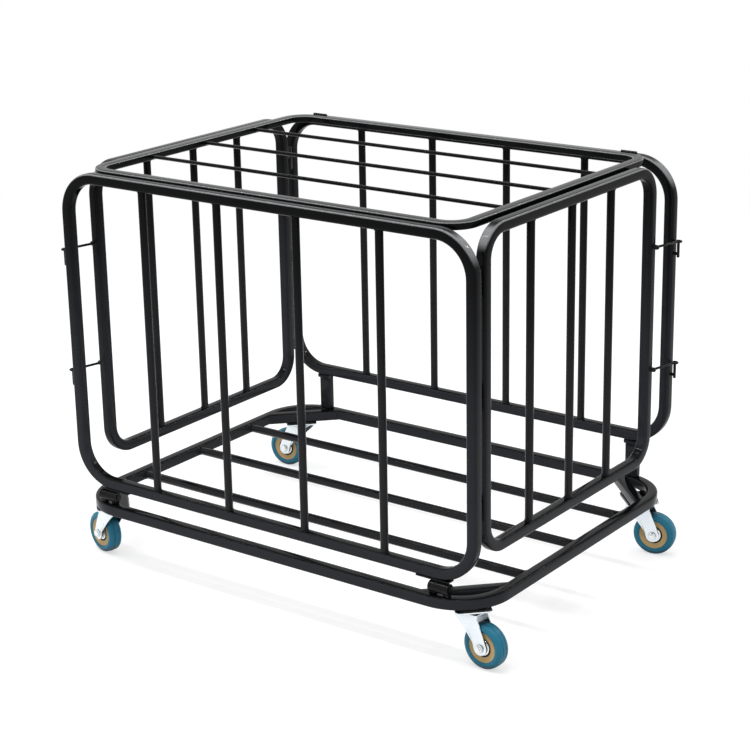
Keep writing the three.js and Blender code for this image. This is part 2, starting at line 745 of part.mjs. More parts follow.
for (const spot of casters) {
  const axisX = spot.x * casterX;
  const axisY = spot.y * casterY;
  const turn = THREE.MathUtils.degToRad(spot.turn);
  const swivelled = (geometry) => {
    geometry.rotateZ(turn);
    geometry.translate(axisX, axisY, 0);
    return geometry;
  };
  const plate = joined(casterPlate());
  plate.rotateZ(cornerTurn);
  plate.translate(axisX, axisY, 0);
  place(`caster_plate_${spot.name}`, plate, "zinc");
  place(`caster_fork_${spot.name}`, swivelled(casterFork()), "zinc");
  place(`caster_axle_${spot.name}`, swivelled(casterAxle()), "zinc");
  place(`tyre_${spot.name}`, swivelled(onAxle(turned(tyreRing()))), "tyre");
  place(`rim_${spot.name}`, swivelled(onAxle(turned(rimRing()))), "rim");
  place(`hub_${spot.name}`, swivelled(onAxle(turned(hubRing()))), "hub");
}

export default part;
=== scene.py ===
"""Visual model of a folding ball cart: a cage of black coated tube on four swivel casters.

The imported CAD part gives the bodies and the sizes. Each rigid node is shown by a finer piece of the
same size, worked out here as numpy surfaces, and every surface gets a procedural finish.
Lengths are in millimetres and are turned to metres when a mesh is made.
"""

import logging
import math
from dataclasses import dataclass
from enum import Enum

import bmesh
import bpy
import numpy as np
from mathutils import Matrix, Vector


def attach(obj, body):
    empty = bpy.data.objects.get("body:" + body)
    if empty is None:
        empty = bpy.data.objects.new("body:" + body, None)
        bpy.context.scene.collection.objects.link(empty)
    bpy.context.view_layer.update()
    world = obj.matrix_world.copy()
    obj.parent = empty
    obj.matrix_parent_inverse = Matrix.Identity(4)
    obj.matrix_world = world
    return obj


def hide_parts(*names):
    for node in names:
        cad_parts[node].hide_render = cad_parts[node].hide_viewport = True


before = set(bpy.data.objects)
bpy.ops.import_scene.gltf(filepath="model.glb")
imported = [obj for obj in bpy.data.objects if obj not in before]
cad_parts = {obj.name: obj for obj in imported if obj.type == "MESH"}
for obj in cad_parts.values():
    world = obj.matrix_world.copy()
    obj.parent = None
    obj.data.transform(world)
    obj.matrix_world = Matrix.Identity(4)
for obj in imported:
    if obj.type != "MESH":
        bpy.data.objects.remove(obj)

LOG = logging.getLogger("ball_cart")
MM = 0.001
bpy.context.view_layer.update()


class Finish(Enum):
    """Surface finishes of the cart and the floor, by the name of their material."""

    FRAME_COAT = "frame_coat"
    BAR_COAT = "bar_coat"
    FITTING_COAT = "fitting_coat"
    ZINC = "zinc_plate"
    TYRE = "tyre_rubber"
    RIM = "rim_plastic"
    HUB = "hub_steel"
    SEAL = "seal_rubber"
    FLOOR = "floor_paper"


@dataclass(frozen=True)
class CartSizes:
    """Sizes of the cart in millimetres, the same as in the part's source.

    The lower ones follow from the upper ones. The lid's pivot is given in depth and height, and
    the other places as seen from above.
    """

    length: float = 848.0
    depth: float = 630.0
    front_height: float = 567.0
    tube: float = 19.0
    tube_round: float = 4.5
    bar: float = 13.5
    overhang_x: float = 8.0
    overhang_y: float = 10.0
    base_tube: float = 20.0
    base_bend: float = 95.0
    floor_bar: float = 15.5
    brace_reach: float = 104.0
    front_gap: float = 26.5
    panel_bend: float = 75.0
    end_bend: float = 55.0
    back_lift: float = 46.5
    end_lift: float = 31.5
    end_inset: float = 10.0
    hinge_gap: float = 23.0
    latch_gap: float = 38.0
    lid_length: float = 770.0
    lid_side_gap: float = 1.3
    lid_thick: float = 12.7
    lid_round: float = 3.0
    lid_rise: float = 3.3
    lid_bend: float = 48.0
    lid_bar: float = 6.4
    lid_bar_spacing: float = 142.0
    lid_stop_x: float = 200.128
    wheel_radius: float = 38.0
    wheel_width: float = 25.0
    caster_height: float = 99.0
    caster_slide: float = 5.0
    trail: float = 30.0
    pad_thick: float = 3.0
    pad_size: float = 58.0
    plate_size: float = 60.0
    plate_thick: float = 2.5
    pivot_radius: float = 5.5
    pivot_length: float = 46.0
    pin_radius: float = 2.3
    lid_hinge_x: float = 335.0
    lid_hinge_length: float = 30.0
    lid_hinge_radius: float = 2.8
    lid_pin_radius: float = 1.4
    front_hinge_x: float = 354.0
    front_hinge_length: float = 38.0
    front_hinge_radius: float = 9.5
    front_leaf_length: float = 63.0
    front_leaf_thick: float = 3.0
    upright_x: float = 348.0
    upright_width: float = 25.0
    link_reach: float = 56.0
    link_radius: float = 2.2
    eye_radius: float = 4.9
    eye_wire: float = 1.9
    peg_radius: float = 2.5
    peg_stand: float = 7.5
    peg_length: float = 26.0
    play: float = 0.3

    half_length: float = length / 2
    half_depth: float = depth / 2
    base_half_x: float = half_length + overhang_x
    base_half_y: float = half_depth + overhang_y
    base_bottom: float = caster_height + pad_thick
    base_top: float = base_bottom + base_tube
    panel_bottom: float = base_top + front_gap
    panel_top: float = panel_bottom + front_height
    back_bottom: float = panel_bottom + back_lift
    end_bottom: float = panel_bottom + end_lift
    end_outer: float = half_length - end_inset
    end_width: float = depth - 2 * tube - hinge_gap - latch_gap
    end_centre_y: float = (hinge_gap - latch_gap) / 2
    pivot: tuple = (end_outer - tube / 2, -half_depth + tube + hinge_gap / 2)
    lid_half_y: float = half_depth - tube - lid_side_gap
    lid_top: float = panel_top + lid_rise
    lid_pivot: tuple = (half_depth - tube + lid_side_gap * 1.2, panel_top + lid_hinge_radius)
    plate_reach: float = base_bend - plate_size / 2
    caster_spot: tuple = (base_half_x - base_bend + (plate_reach + caster_slide) * math.sqrt(0.5),
                          base_half_y - base_bend + (plate_reach - caster_slide) * math.sqrt(0.5))
    stud_y: float = end_centre_y + end_width / 2 - tube / 2
    collar_radius: float = link_radius * 1.9
    collar_half: float = link_radius * 1.5
    link_x: float = end_outer + 1.0 + play + collar_half
    peg_spot: tuple = (half_length + peg_stand, stud_y + link_reach)


SIZES = CartSizes()
LATCH_HEIGHTS = {level: SIZES.panel_bottom + share * SIZES.front_height
                 for level, share in (("lower", 0.362), ("upper", 0.747))}
PIVOT_HEIGHTS = [SIZES.end_bottom + share * (SIZES.panel_top - SIZES.end_bottom)
                 for share in (0.16, 0.5, 0.84)]

# How far a part is sunk into its neighbour, a weld bead's thickness and its place on a bar's end.
SUNK = 0.5
WELD = 1.1
WELD_INSET = 0.4

ALONG_X, ALONG_Y, ALONG_Z = (1, 0, 0), (0, 1, 0), (0, 0, 1)
SIDES = (-1, 1)


class Corner(Enum):
    """The four corners, as side along X, side along Y and the caster's turn in degrees."""

    FRONT_RIGHT = (1, -1, -5.0)
    FRONT_LEFT = (-1, -1, 167.0)
    BACK_RIGHT = (1, 1, 11.0)
    BACK_LEFT = (-1, 1, 185.0)

    @property
    def label(self) -> str:
        """The corner's name as the nodes use it."""
        return self.name.lower()

    @property
    def spot(self) -> tuple:
        """Place of the corner's caster on the floor."""
        return self.value[0] * SIZES.caster_spot[0], self.value[1] * SIZES.caster_spot[1], 0


@dataclass
class Shell:
    """One closed surface in millimetres with its finish."""

    points: np.ndarray
    faces: list
    finish: Finish

    def moved(self, matrix: np.ndarray, shift: tuple = (0, 0, 0)) -> "Shell":
        """A copy whose points are the matrix times the point, plus the shift.

        A matrix that mirrors also turns the faces the other way round.

        Args:
            matrix: a 3 by 3 matrix.
            shift: what is added to each point.

        Returns:
            The new shell.
        """
        points = self.points @ np.asarray(matrix, float).T + np.asarray(shift, float)
        mirrored = np.linalg.det(np.asarray(matrix, float)) < 0
        faces = [face[::-1] for face in self.faces] if mirrored else self.faces
        return Shell(points, faces, self.finish)

    def turned(self, angle: float, shift: tuple) -> "Shell":
        """Returns a copy turned about the upright axis by an angle in radians, then shifted."""
        c, s = math.cos(angle), math.sin(angle)
        return self.moved([[c, -s, 0], [s, c, 0], [0, 0, 1]], shift)


class Surfaces:
    """Parametric surfaces. Each returns a closed shell computed as whole arrays."""

    @staticmethod
    def shell(grid: np.ndarray, finish: Finish, wrap: bool = False, flip: bool = False) -> Shell:
        """Joins a grid of points with four-sided faces. The last column joins the first.

        Args:
            grid: points of shape (rows, columns, 3).
            finish: the surface's finish.
            wrap: whether the last row joins the first.
            flip: whether the faces run the other way round.

        Returns:
            The shell.
        """
        rows, columns = grid.shape[:2]
        i, j = np.meshgrid(np.arange(rows if wrap else rows - 1), np.arange(columns), indexing="ij")
        k, m = (i + 1) % rows, (j + 1) % columns
        faces = np.stack([i * columns + j, k * columns + j, k * columns + m, i * columns + m], -1)
        faces = faces.reshape(-1, 4)[:, ::-1 if flip else 1].tolist()
        return Shell(grid.reshape(-1, 3), faces, finish)

    @staticmethod
    def quarters(steps: int) -> tuple[np.ndarray, np.ndarray, np.ndarray]:
        """Angles of four quarter turns, each with both of its ends.

        Args:
            steps: parts of each quarter turn.

        Returns:
            The angles, and each one's side along X and along Y.
        """
        corner = np.repeat(np.arange(4), steps + 1)
        angle = (corner + np.tile(np.arange(steps + 1), 4) / steps) * math.pi / 2
        return angle, np.array([1, -1, -1, 1])[corner], np.array([1, 1, -1, -1])[corner]

    @staticmethod
    def ring(axis: tuple, steps: int) -> tuple[np.ndarray, np.ndarray, np.ndarray]:
        """Directions round an axis: u cos t + v sin t, where u and v stand across it.

        Args:
            axis: direction of the axis.
            steps: parts of the full turn.

        Returns:
            The axis as a unit vector, the angles t and the unit vectors across.
        """
        a = np.asarray(axis, float)
        a = a / np.linalg.norm(a)
        helper = np.array([0, 0, 1.0]) if abs(a[2]) < 0.9 else np.array([1.0, 0, 0])
        u = np.cross(helper, a)
        u /= np.linalg.norm(u)
        t = np.arange(steps) / steps * 2 * math.pi
        return a, t, np.cos(t)[:, None] * u + np.sin(t)[:, None] * np.cross(a, u)

    @classmethod
    def section(cls, width: float, height: float, round_: float, steps: int = 5) -> np.ndarray:
        """Outline of a tube: each corner is centre + r (cos t, sin t) over a quarter turn.

        Args:
            width: size along the first axis.
            height: size along the second axis.
            round_: radius of the corners.
            steps: parts of each corner.

        Returns:
            Points (n, 2), anticlockwise.
        """
        angle, sx, sy = cls.quarters(steps)
        return np.stack([sx * (width / 2 - round_) + round_ * np.cos(angle),
                         sy * (height / 2 - round_) + round_ * np.sin(angle)], -1)

    @classmethod
    def bent_frame(cls, size: tuple, bend: float, tube: tuple, steps: int, z: float = 0.0) -> Shell:
        """A closed level loop of tube.

        The middle line is the rounded rectangle corner + (bend - tube/2)(cos t, sin t), and the
        section (out, up) is carried along it at right angles.

        Args:
            size: outer sizes along X and Y.
            bend: outer radius of the corners.
            tube: width, height and edge radius of the tube.
            steps: parts of each bend.
            z: height of the middle line.

        Returns:
            The closed shell.
        """
        angle, sx, sy = cls.quarters(steps)
        out, up = cls.section(*tube).T
        reach = bend - tube[0] / 2 + out
        grid = np.stack([(sx * (size[0] / 2 - bend))[:, None] + reach * np.cos(angle)[:, None],
                         (sy * (size[1] / 2 - bend))[:, None] + reach * np.sin(angle)[:, None],
                         np.broadcast_to(up + z, (len(angle), len(up)))], -1)
        return cls.shell(grid, Finish.FRAME_COAT, wrap=True)

    @classmethod
    def revolve(cls, profile: list, origin: tuple, axis: tuple, finish: Finish = Finish.FITTING_COAT,
                steps: int = 32, closed: bool = False) -> Shell:
        """Turns a profile of (radius, distance) about an axis: p = o + r (u cos t + v sin t) + d a.

        Args:
            profile: pairs of radius and distance along the axis.
            origin: a point on the axis.
            axis: direction of the axis.
            finish: the surface's finish.
            steps: parts of the full turn.
            closed: whether the profile closes on itself and stays off the axis.

        Returns:
            The closed shell.
        """
        a, _, ring = cls.ring(axis, steps)
        radius, distance = np.asarray(profile, float).T[:, :, None, None]
        grid = np.asarray(origin, float) + distance * a + radius * ring
        return cls.shell(grid, finish, closed, True)

    @classmethod
    def rod(cls, start: tuple, end: tuple, radius: float, finish: Finish = Finish.FITTING_COAT,
            steps: int = 28, soft: float = 0.5) -> Shell:
        """A round rod: a straight profile with softened ends, turned about its middle line.

        Args:
            start: middle of one end.
            end: middle of the other end.
            radius: the rod's radius.
            finish: the surface's finish.
            steps: parts round the rod.
            soft: width of the softened edges.

        Returns:
            The closed shell.
        """
        run = np.asarray(end, float) - np.asarray(start, float)
        length = float(np.linalg.norm(run))
        soft = min(soft, length / 4, radius / 2)
        near = soft * 0.3
        profile = [(0, 0), (radius - soft, 0), (radius - near, near), (radius, soft),
                   (radius, length - soft), (radius - near, length - near),
                   (radius - soft, length), (0, length)]
        return cls.revolve(profile, start, run, finish, steps)

    @classmethod
    def sleeve(cls, inner: float, outer: float, low: float, high: float, soft: float,
               origin: tuple, axis: tuple, steps: int = 28, foot: float = 0.0) -> Shell:
        """A hollow barrel: a profile of six corners between two radii, turned about an axis.

        Args:
            inner: radius of the bore.
            outer: outer radius.
            low: where it starts along the axis.
            high: where it ends along the axis.
            soft: how far its outer edges are cut off.
            origin: the point on the axis that low and high are counted from.
            axis: direction of the axis.
            steps: parts of the full turn.
            foot: how much higher the lower edge is cut.

        Returns:
            The closed shell.
        """
        profile = [(inner, low), (outer - soft, low), (outer, low + soft + foot),
                   (outer, high - soft), (outer - soft, high), (inner, high)]
        return cls.revolve(profile, origin, axis, steps=steps, closed=True)

    @classmethod
    def block(cls, low: tuple, high: tuple, round_: float, finish: Finish = Finish.FITTING_COAT,
              steps: int = 3) -> Shell:
        """A box with rounded edges: p = sign(n)(half - r) + r n over all directions n.

        Args:
            low: lowest corner.
            high: highest corner.
            round_: radius of the edges.
            finish: the surface's finish.
            steps: parts of each quarter turn.

        Returns:
            The closed shell.
        """
        low, high = np.asarray(low, float), np.asarray(high, float)
        half = (high - low) / 2
        round_ = min(round_, float(half.min()) * 0.98)
        around, sx, sy = cls.quarters(steps)
        hemi = np.repeat(np.arange(2), steps + 1)
        up = (hemi - 1 + np.tile(np.arange(steps + 1), 2) / steps) * math.pi / 2
        sz = np.array(SIDES)[hemi]
        ring = np.cos(up)[:, None]
        core = half - round_
        grid = np.stack([
            sx * core[0] + round_ * ring * np.cos(around),
            sy * core[1] + round_ * ring * np.sin(around),
            (sz[:, None] * core[2] + round_ * np.sin(up)[:, None]) * np.ones_like(around),
        ], -1)
        bottom, top = (np.broadcast_to([0, 0, side * half[2]], (1,) + grid.shape[1:])
                       for side in SIDES)
        grid = np.concatenate([bottom, grid, top]) + (low + high) / 2
        return cls.shell(grid, finish, flip=True)

    @classmethod
    def slab(cls, outline: np.ndarray, low: float, high: float, soft: float, finish: Finish) -> Shell:
        """A flat plate: its outline carried up from low to high with softened edges.

        The rows are the outline pulled in by the edge's softness, the outline itself twice, the
        pulled-in outline again, and at both ends its middle point.

        Args:
            outline: points (n, 2), anticlockwise, each seen from the middle.
            low: lower face.
            high: upper face.
            soft: width of the softened edge.
            finish: the surface's finish.

        Returns:
            The closed shell.
        """
        ahead = np.roll(outline, -1, 0) - outline
        ahead /= np.linalg.norm(ahead, axis=1)[:, None]
        tangent = ahead + np.roll(ahead, 1, 0)
        tangent /= np.linalg.norm(tangent, axis=1)[:, None]
        inward = np.stack([-tangent[:, 1], tangent[:, 0]], -1) * soft
        pulled, near, edge = outline + inward, outline + inward * 0.3, soft * 0.3
        middle = np.broadcast_to(outline.mean(0), outline.shape)
        rows = [(middle, low), (pulled, low), (near, low + edge), (outline, low + soft),
                (outline, high - soft), (near, high - edge), (pulled, high), (middle, high)]
        grid = np.stack([np.column_stack([row, np.full(len(row), z)]) for row, z in rows])
        return cls.shell(grid, finish, flip=True)

    @classmethod
    def bead(cls, centre: tuple, axis: tuple, radius: float, size: float, phase: float) -> Shell:
        """A weld bead round a bar: a ring whose thickness is r (1 + 0.16 sin 11t + 0.08 sin 5t).

        Args:
            centre: middle of the ring.
            axis: the bar's direction.
            radius: the bar's radius.
            size: mean thickness of the bead.
            phase: shift of the ripples.

        Returns:
            The closed shell.
        """
        a, t, out = cls.ring(axis, 40)
        w = np.arange(8) / 8 * 2 * math.pi
        ripple = size * (1 + 0.16 * np.sin(11 * t + phase) + 0.08 * np.sin(5 * t + 2 * phase))
        grid = (np.asarray(centre, float)
                + (radius + ripple[:, None] * np.cos(w))[..., None] * out[:, None]
                + (ripple[:, None] * np.sin(w) * 0.8)[..., None] * a)
        return cls.shell(grid, Finish.BAR_COAT, wrap=True)

    @staticmethod
    def mirrored(side: list) -> list:
        """A profile of (radius, distance), followed back along its mirror image."""
        return side + [(radius, -distance) for radius, distance in side[::-1]]


@dataclass
class Piece:
    """A visible piece: shells that ride on one body and stand for one CAD node.

    Edges that bend by more degrees than crease stay sharp.
    """

    node: str
    body: str
    slot: str
    shells: list
    crease: float = 35.0

    def build(self, palette: dict) -> bpy.types.Object:
        """Makes the mesh, gives it its finishes and ties it to its body.

        Args:
            palette: material for each finish.

        Returns:
            The new object.
        """
        faces, slots, used, start = [], [], [], 0
        for shell in self.shells:
            if shell.finish not in used:
                used.append(shell.finish)
            faces.extend([tuple(index + start for index in face) for face in shell.faces])
            slots.extend([used.index(shell.finish)] * len(shell.faces))
            start += len(shell.points)
        name = f"{self.node}_shown"
        mesh = bpy.data.meshes.new(name)
        points = np.concatenate([shell.points for shell in self.shells])
        mesh.from_pydata((points * MM).tolist(), [], faces)
        mesh.polygons.foreach_set("material_index", np.asarray(slots, dtype=np.int32))
        for finish in used:
            mesh.materials.append(palette[finish])
        cleaned(mesh, 1e-7)
        mesh.shade_smooth()
        mesh.set_sharp_from_angle(angle=math.radians(self.crease))
        piece = bpy.data.objects.new(name, mesh)
        bpy.context.scene.collection.objects.link(piece)
        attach(piece, self.body)
        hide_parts(self.node)
        LOG.info("piece %s: %d faces on %s", name, len(mesh.polygons), self.body)
        return piece


def cleaned(mesh: bpy.types.Mesh, reach: float) -> None:
    """Joins close points, drops empty faces and turns the rest outward.

    Args:
        mesh: the mesh to clean.
        reach: distance in metres under which points are joined.
    """
    work = bmesh.new()
    work.from_mesh(mesh)
    bmesh.ops.remove_doubles(work, verts=work.verts, dist=reach)
    bmesh.ops.dissolve_degenerate(work, edges=work.edges, dist=reach / 10)
    bmesh.ops.recalc_face_normals(work, faces=work.faces)
    work.to_mesh(mesh)
    work.free()


STAND_X = np.array([[1, 0, 0], [0, 0, -1], [0, 1, 0]], float)
STAND_Y = np.array([[0, 0, 1], [1, 0, 0], [0, 1, 0]], float)
HALF_TURN = np.diag([-1.0, -1.0, 1.0])


def turned_round(shells: list) -> list:
    """The same shells half a turn about the cart's upright middle line."""
    return [shell.moved(HALF_TURN) for shell in shells]


ENDS = (("right", list), ("left", turned_round))


@dataclass
class SubAssembly:
    """Shared sizes and helpers of the sub-assemblies."""

    sizes: CartSizes = SIZES

    @staticmethod
    def bar(start: tuple, end: tuple, diameter: float, phases: tuple, weld: float = WELD,
            steps: int = 28) -> list:
        """A round bar with a weld bead at each end.

        Args:
            start: one end.
            end: the other end.
            diameter: the bar's diameter.
            phases: phase of each bead's ripple.
            weld: thickness of the beads.
            steps: parts round the bar.

        Returns:
            The shells of the bar and its two beads.
        """
        start, end = np.array(start, float), np.array(end, float)
        axis = (end - start) / np.linalg.norm(end - start)
        inset, radius = axis * WELD_INSET, diameter / 2
        return [Surfaces.rod(start, end, radius, Finish.BAR_COAT, steps, 0.1),
                Surfaces.bead(start + inset, axis, radius, weld, phases[0]),
                Surfaces.bead(end - inset, axis, radius, weld, phases[1])]

    def upright_bar(self, x: float, y: float, low: float) -> list:
        """An upright bar of a panel whose lower edge is at a height."""
        s = self.sizes
        return self.bar((x, y, low + s.tube), (x, y, s.panel_top - s.tube), s.bar, (x, y + x))

    def level_bars(self, kind: str, body: str, reach: float, z: float, spacing: float,
                   **size: float) -> list:
        """Three level bars along the length, as pieces.

        Args:
            kind: start of the nodes' names.
            body: the body they ride on.
            reach: half their length.
            z: their height.
            spacing: distance between two of them.
            size: what bar() takes for their thickness.

        Returns:
            The pieces.
        """
        return [Piece(f"{kind}_{i + 2}", body, "bar",
                      self.bar((-reach, i * spacing, z), (reach, i * spacing, z),
                               phases=(i, i + 2), **size)) for i in (-1, 0, 1)]

    def panel_frame(self, width: float, low: float, bend: float, steps: int, stand: np.ndarray,
                    spot: tuple) -> Shell:
        """The bent tube of a panel, stood up.

        Args:
            width: outer width.
            low: height of the lower edge.
            bend: outer radius of the corners.
            steps: parts of each bend.
            stand: matrix that stands it up.
            spot: its middle as seen from above.

        Returns:
            The shell.
        """
        s = self.sizes
        height = s.panel_top - low
        loop = Surfaces.bent_frame((width, height), bend, (s.tube, s.tube, s.tube_round), steps)
        return loop.moved(stand, (*spot, low + height / 2))

    def build(self) -> list:
        """Returns the sub-assembly's pieces."""
        raise NotImplementedError


@dataclass
class BaseFrame(SubAssembly):
    """The wheeled base: bent tube, floor bars, corner braces, caster pads and back uprights."""

    def pad(self, corner: Corner) -> Shell:
        """The black plate welded under a bend: a square with its two outer corners cut off.

        Args:
            corner: the corner that it belongs to.

        Returns:
            The closed shell.
        """
        s = self.sizes
        half = s.pad_size / 2
        cut = half - s.pad_size * 0.22
        outline = np.array([(half, cut), (cut, half), (-half, half), (-half, -half), (cut, -half),
                            (half, -cut)])
        shell = Surfaces.slab(outline, s.caster_height, s.base_bottom + 0.3, 0.5, Finish.FITTING_COAT)
        return shell.turned(math.atan2(corner.value[1], corner.value[0]), corner.spot)

    def upright(self, side: int) -> list:
        """One upright under the back panel: a rounded block and a round lip along its top.

        Args:
            side: -1 for the left one, 1 for the right.

        Returns:
            The shells.
        """
        s = self.sizes
        left, right = (side * s.upright_x + end * s.upright_width / 2 for end in SIDES)
        back, lip = s.half_depth + s.overhang_y / 2, s.tube * 0.26
        y, z = s.half_depth - s.tube / 2, s.back_bottom - lip
        return [
            Surfaces.block((left, back - s.tube * 0.76, s.base_top - 0.4), (right, back, z), 3.0,
                           Finish.FRAME_COAT, 4),
            Surfaces.rod((left, y, z), (right, y, z), lip, Finish.FRAME_COAT),
        ]

    def brace(self, corner: Corner) -> Shell:
        """A 45 degree tube across a corner, its ends cut parallel to the rails, just inside them.

        A section at distance d along the line is slid so that its ends lie in the planes of the
        two rails: the end's d is the centre's plus or minus the sideways offset.

        Args:
            corner: the corner that it crosses.

        Returns:
            The closed shell.
        """
        s = self.sizes
        across, up = Surfaces.section(s.base_tube, s.base_tube, s.tube_round).T
        inner_x, inner_y = s.base_half_x - s.base_tube + 4, s.base_half_y - s.base_tube + 4
        line = (s.base_half_x + s.base_half_y - s.brace_reach - s.base_tube
                + across * math.sqrt(2))
        z = s.base_bottom + s.base_tube / 2 + up
        first = np.stack([line - inner_y, np.full_like(line, inner_y), z], -1)
        last = np.stack([np.full_like(line, inner_x), line - inner_x, z], -1)
        caps = [np.broadcast_to(end.mean(0), end.shape) for end in (first, last)]
        shell = Surfaces.shell(np.stack([caps[0], first, last, caps[1]]), Finish.FRAME_COAT)
        return shell.moved(np.diag([*corner.value[:2], 1.0]))

    def build(self) -> list:
        """Builds the base frame, with its pads, uprights and braces, and its floor bars.

        Returns:
            The pieces.
        """
        s = self.sizes
        middle = s.base_bottom + s.base_tube / 2
        loop = Surfaces.bent_frame((s.base_half_x * 2, s.base_half_y * 2), s.base_bend,
                                   (s.base_tube, s.base_tube, s.tube_round), 18, middle)
        shells = [loop] + [self.pad(corner) for corner in Corner] + self.upright(-1)
        shells += self.upright(1) + [self.brace(corner) for corner in Corner]
        return [Piece("base_frame", "chassis", "frame", shells)] + self.level_bars(
            "floor_bar", "chassis", s.base_half_x - s.base_tube, middle,
            (s.base_half_y - s.base_tube) / 2, diameter=s.floor_bar)


class CageFittings(SubAssembly):
    """Hinge knuckles, latch studs and stops that are welded to the panels."""

    def fixed_pivots(self) -> list:
        """Lower knuckles, their webs and the pins on the right front post.

        Returns:
            The shells.
        """
        s = self.sizes
        (x, y), shells = s.pivot, []
        for z in PIVOT_HEIGHTS:
            low, parting = z - s.pivot_length / 2, z - s.play / 2
            shells += [
                Surfaces.rod((x, y, low), (x, y, parting), s.pivot_radius, soft=0.7),
                Surfaces.block((x, -s.half_depth + s.tube - SUNK, low),
                               (x + s.tube * 0.45, y, parting), 0.8),
                Surfaces.rod((x, y, z - 1), (x, y, z + s.pivot_length / 2), s.pin_radius, steps=16),
            ]
        return shells

    def moving_pivots(self) -> list:
        """Upper knuckles, hollow over the pins, and their webs on the right end panel.

        Returns:
            The shells.
        """
        s = self.sizes
        (x, y), shells = s.pivot, []
        inner, wide = s.pin_radius + s.play, s.tube * 0.24
        for z in PIVOT_HEIGHTS:
            low, high = z + s.play / 2, z + s.pivot_length / 2
            shells += [
                Surfaces.sleeve(inner, s.pivot_radius, low, high, 0.7, (x, y, 0), ALONG_Z, foot=0.15),
                Surfaces.block((x - wide, y + inner + 0.6, low),
                               (x + wide, -s.half_depth + s.tube + s.hinge_gap + SUNK, high), 0.8),
            ]
        return shells

    def studs(self) -> list:
        """Studs of the two latch links on the right end panel's far post.

        Each is a shoulder, a thinner pin through the collar and a chamfered head.

        Returns:
            The shells.
        """
        s = self.sizes
        start, end = s.link_x - s.collar_half - s.play, s.link_x + s.collar_half + s.play
        stout, y, shells = s.collar_radius * 0.8, s.stud_y, []
        head = [(0, end), (stout, end), (stout, end + 0.8), (stout * 0.7, end + 1.76), (0, end + 1.76)]
        for z in LATCH_HEIGHTS.values():
            shells += [
                Surfaces.rod((s.end_outer - SUNK, y, z), (start, y, z), stout),
                Surfaces.rod((s.end_outer, y, z), (end + 0.8, y, z), s.pin_radius, steps=16),
                Surfaces.revolve(head, (0, y, z), ALONG_X, steps=24),
            ]
        return shells

    def lid_stops(self) -> list:
        """Two small brackets on the front panel's top rail that carry the closed lid.

        Returns:
            The shells.
        """
        s = self.sizes
        top = s.lid_top - s.lid_thick - s.play
        return [Surfaces.block(
            (side * s.lid_stop_x - s.tube, -s.half_depth + s.tube - SUNK, top - s.pad_thick),
            (side * s.lid_stop_x + s.tube, -s.half_depth + s.tube * 1.6, top), 0.7) for side in SIDES]

    def fixed_lid_hinge(self, side: int) -> list:
        """Outer knuckles, webs and pin of a lid hinge on the back panel's top rail.

        The knuckles are the first and the last quarter of the hinge's length.

        Args:
            side: -1 for the left one, 1 for the right.

        Returns:
            The shells.
        """
        s = self.sizes
        (y, z), x = s.lid_pivot, side * s.lid_hinge_x
        half, part, r = s.lid_hinge_length / 2, s.lid_hinge_length / 4, s.lid_hinge_radius
        shells = [Surfaces.rod((x - half - 0.5, y, z), (x + half + 0.5, y, z), s.lid_pin_radius,
                               steps=16)]
        for start in (x - half, x + half - part):
            shells += [
                Surfaces.rod((start, y, z), (start + part, y, z), r),
                Surfaces.block((start, y - r * 0.14, s.panel_top - s.tube_round * 0.78),
                               (start + part, y + r * 2, z - r * 0.4), 0.5),
            ]
        return shells


class LongPanels(CageFittings):
    """Front and back panels: bent frame, four round bars each and the fittings they carry."""

    def build(self) -> list:
        """Builds the two frames and their bars, at equal distances in each.

        Returns:
            The pieces.
        """
        s = self.sizes
        y = s.half_depth - s.tube / 2
        front, back = (self.panel_frame(s.length, low, s.panel_bend, 16, STAND_X, (0, side * y))
                       for side, low in ((-1, s.panel_bottom), (1, s.back_bottom)))
        pieces = [
            Piece("front_frame", "chassis", "frame", [front] + self.fixed_pivots() + self.lid_stops()),
            Piece("back_frame", "chassis", "frame", [back] + turned_round(self.fixed_pivots())
                  + self.fixed_lid_hinge(-1) + self.fixed_lid_hinge(1)),
        ]
        for i in range(4):
            x = (i - 1.5) * (s.length - 2 * s.tube) / 5
            pieces += [
                Piece(f"front_bar_{i + 1}", "chassis", "bar", self.upright_bar(x, -y, s.panel_bottom)),
                Piece(f"back_bar_{i + 1}", "chassis", "bar", self.upright_bar(x, y, s.back_bottom)),
            ]
        return pieces


class EndPanels(CageFittings):
    """The two end panels, which swing on the corner posts; the left is the right turned round."""

    def build(self) -> list:
        """Builds both end frames and their bars, at equal distances in each.

        Returns:
            The pieces.
        """
        s = self.sizes
        x = s.pivot[0]
        loop = self.panel_frame(s.end_width, s.end_bottom, s.end_bend, 14, STAND_Y,
                                (x, s.end_centre_y))
        parts = {"frame": ("frame", [loop] + self.moving_pivots() + self.studs())}
        for i in range(3):
            y = s.end_centre_y + (i - 1) * (s.end_width - 2 * s.tube) / 4
            parts[f"bar_{i + 1}"] = ("bar", self.upright_bar(x, y, s.end_bottom))
        return [Piece(f"{side}_{kind}", f"{side}_panel", slot, change(shells))
                for kind, (slot, shells) in parts.items() for side, change in ENDS]


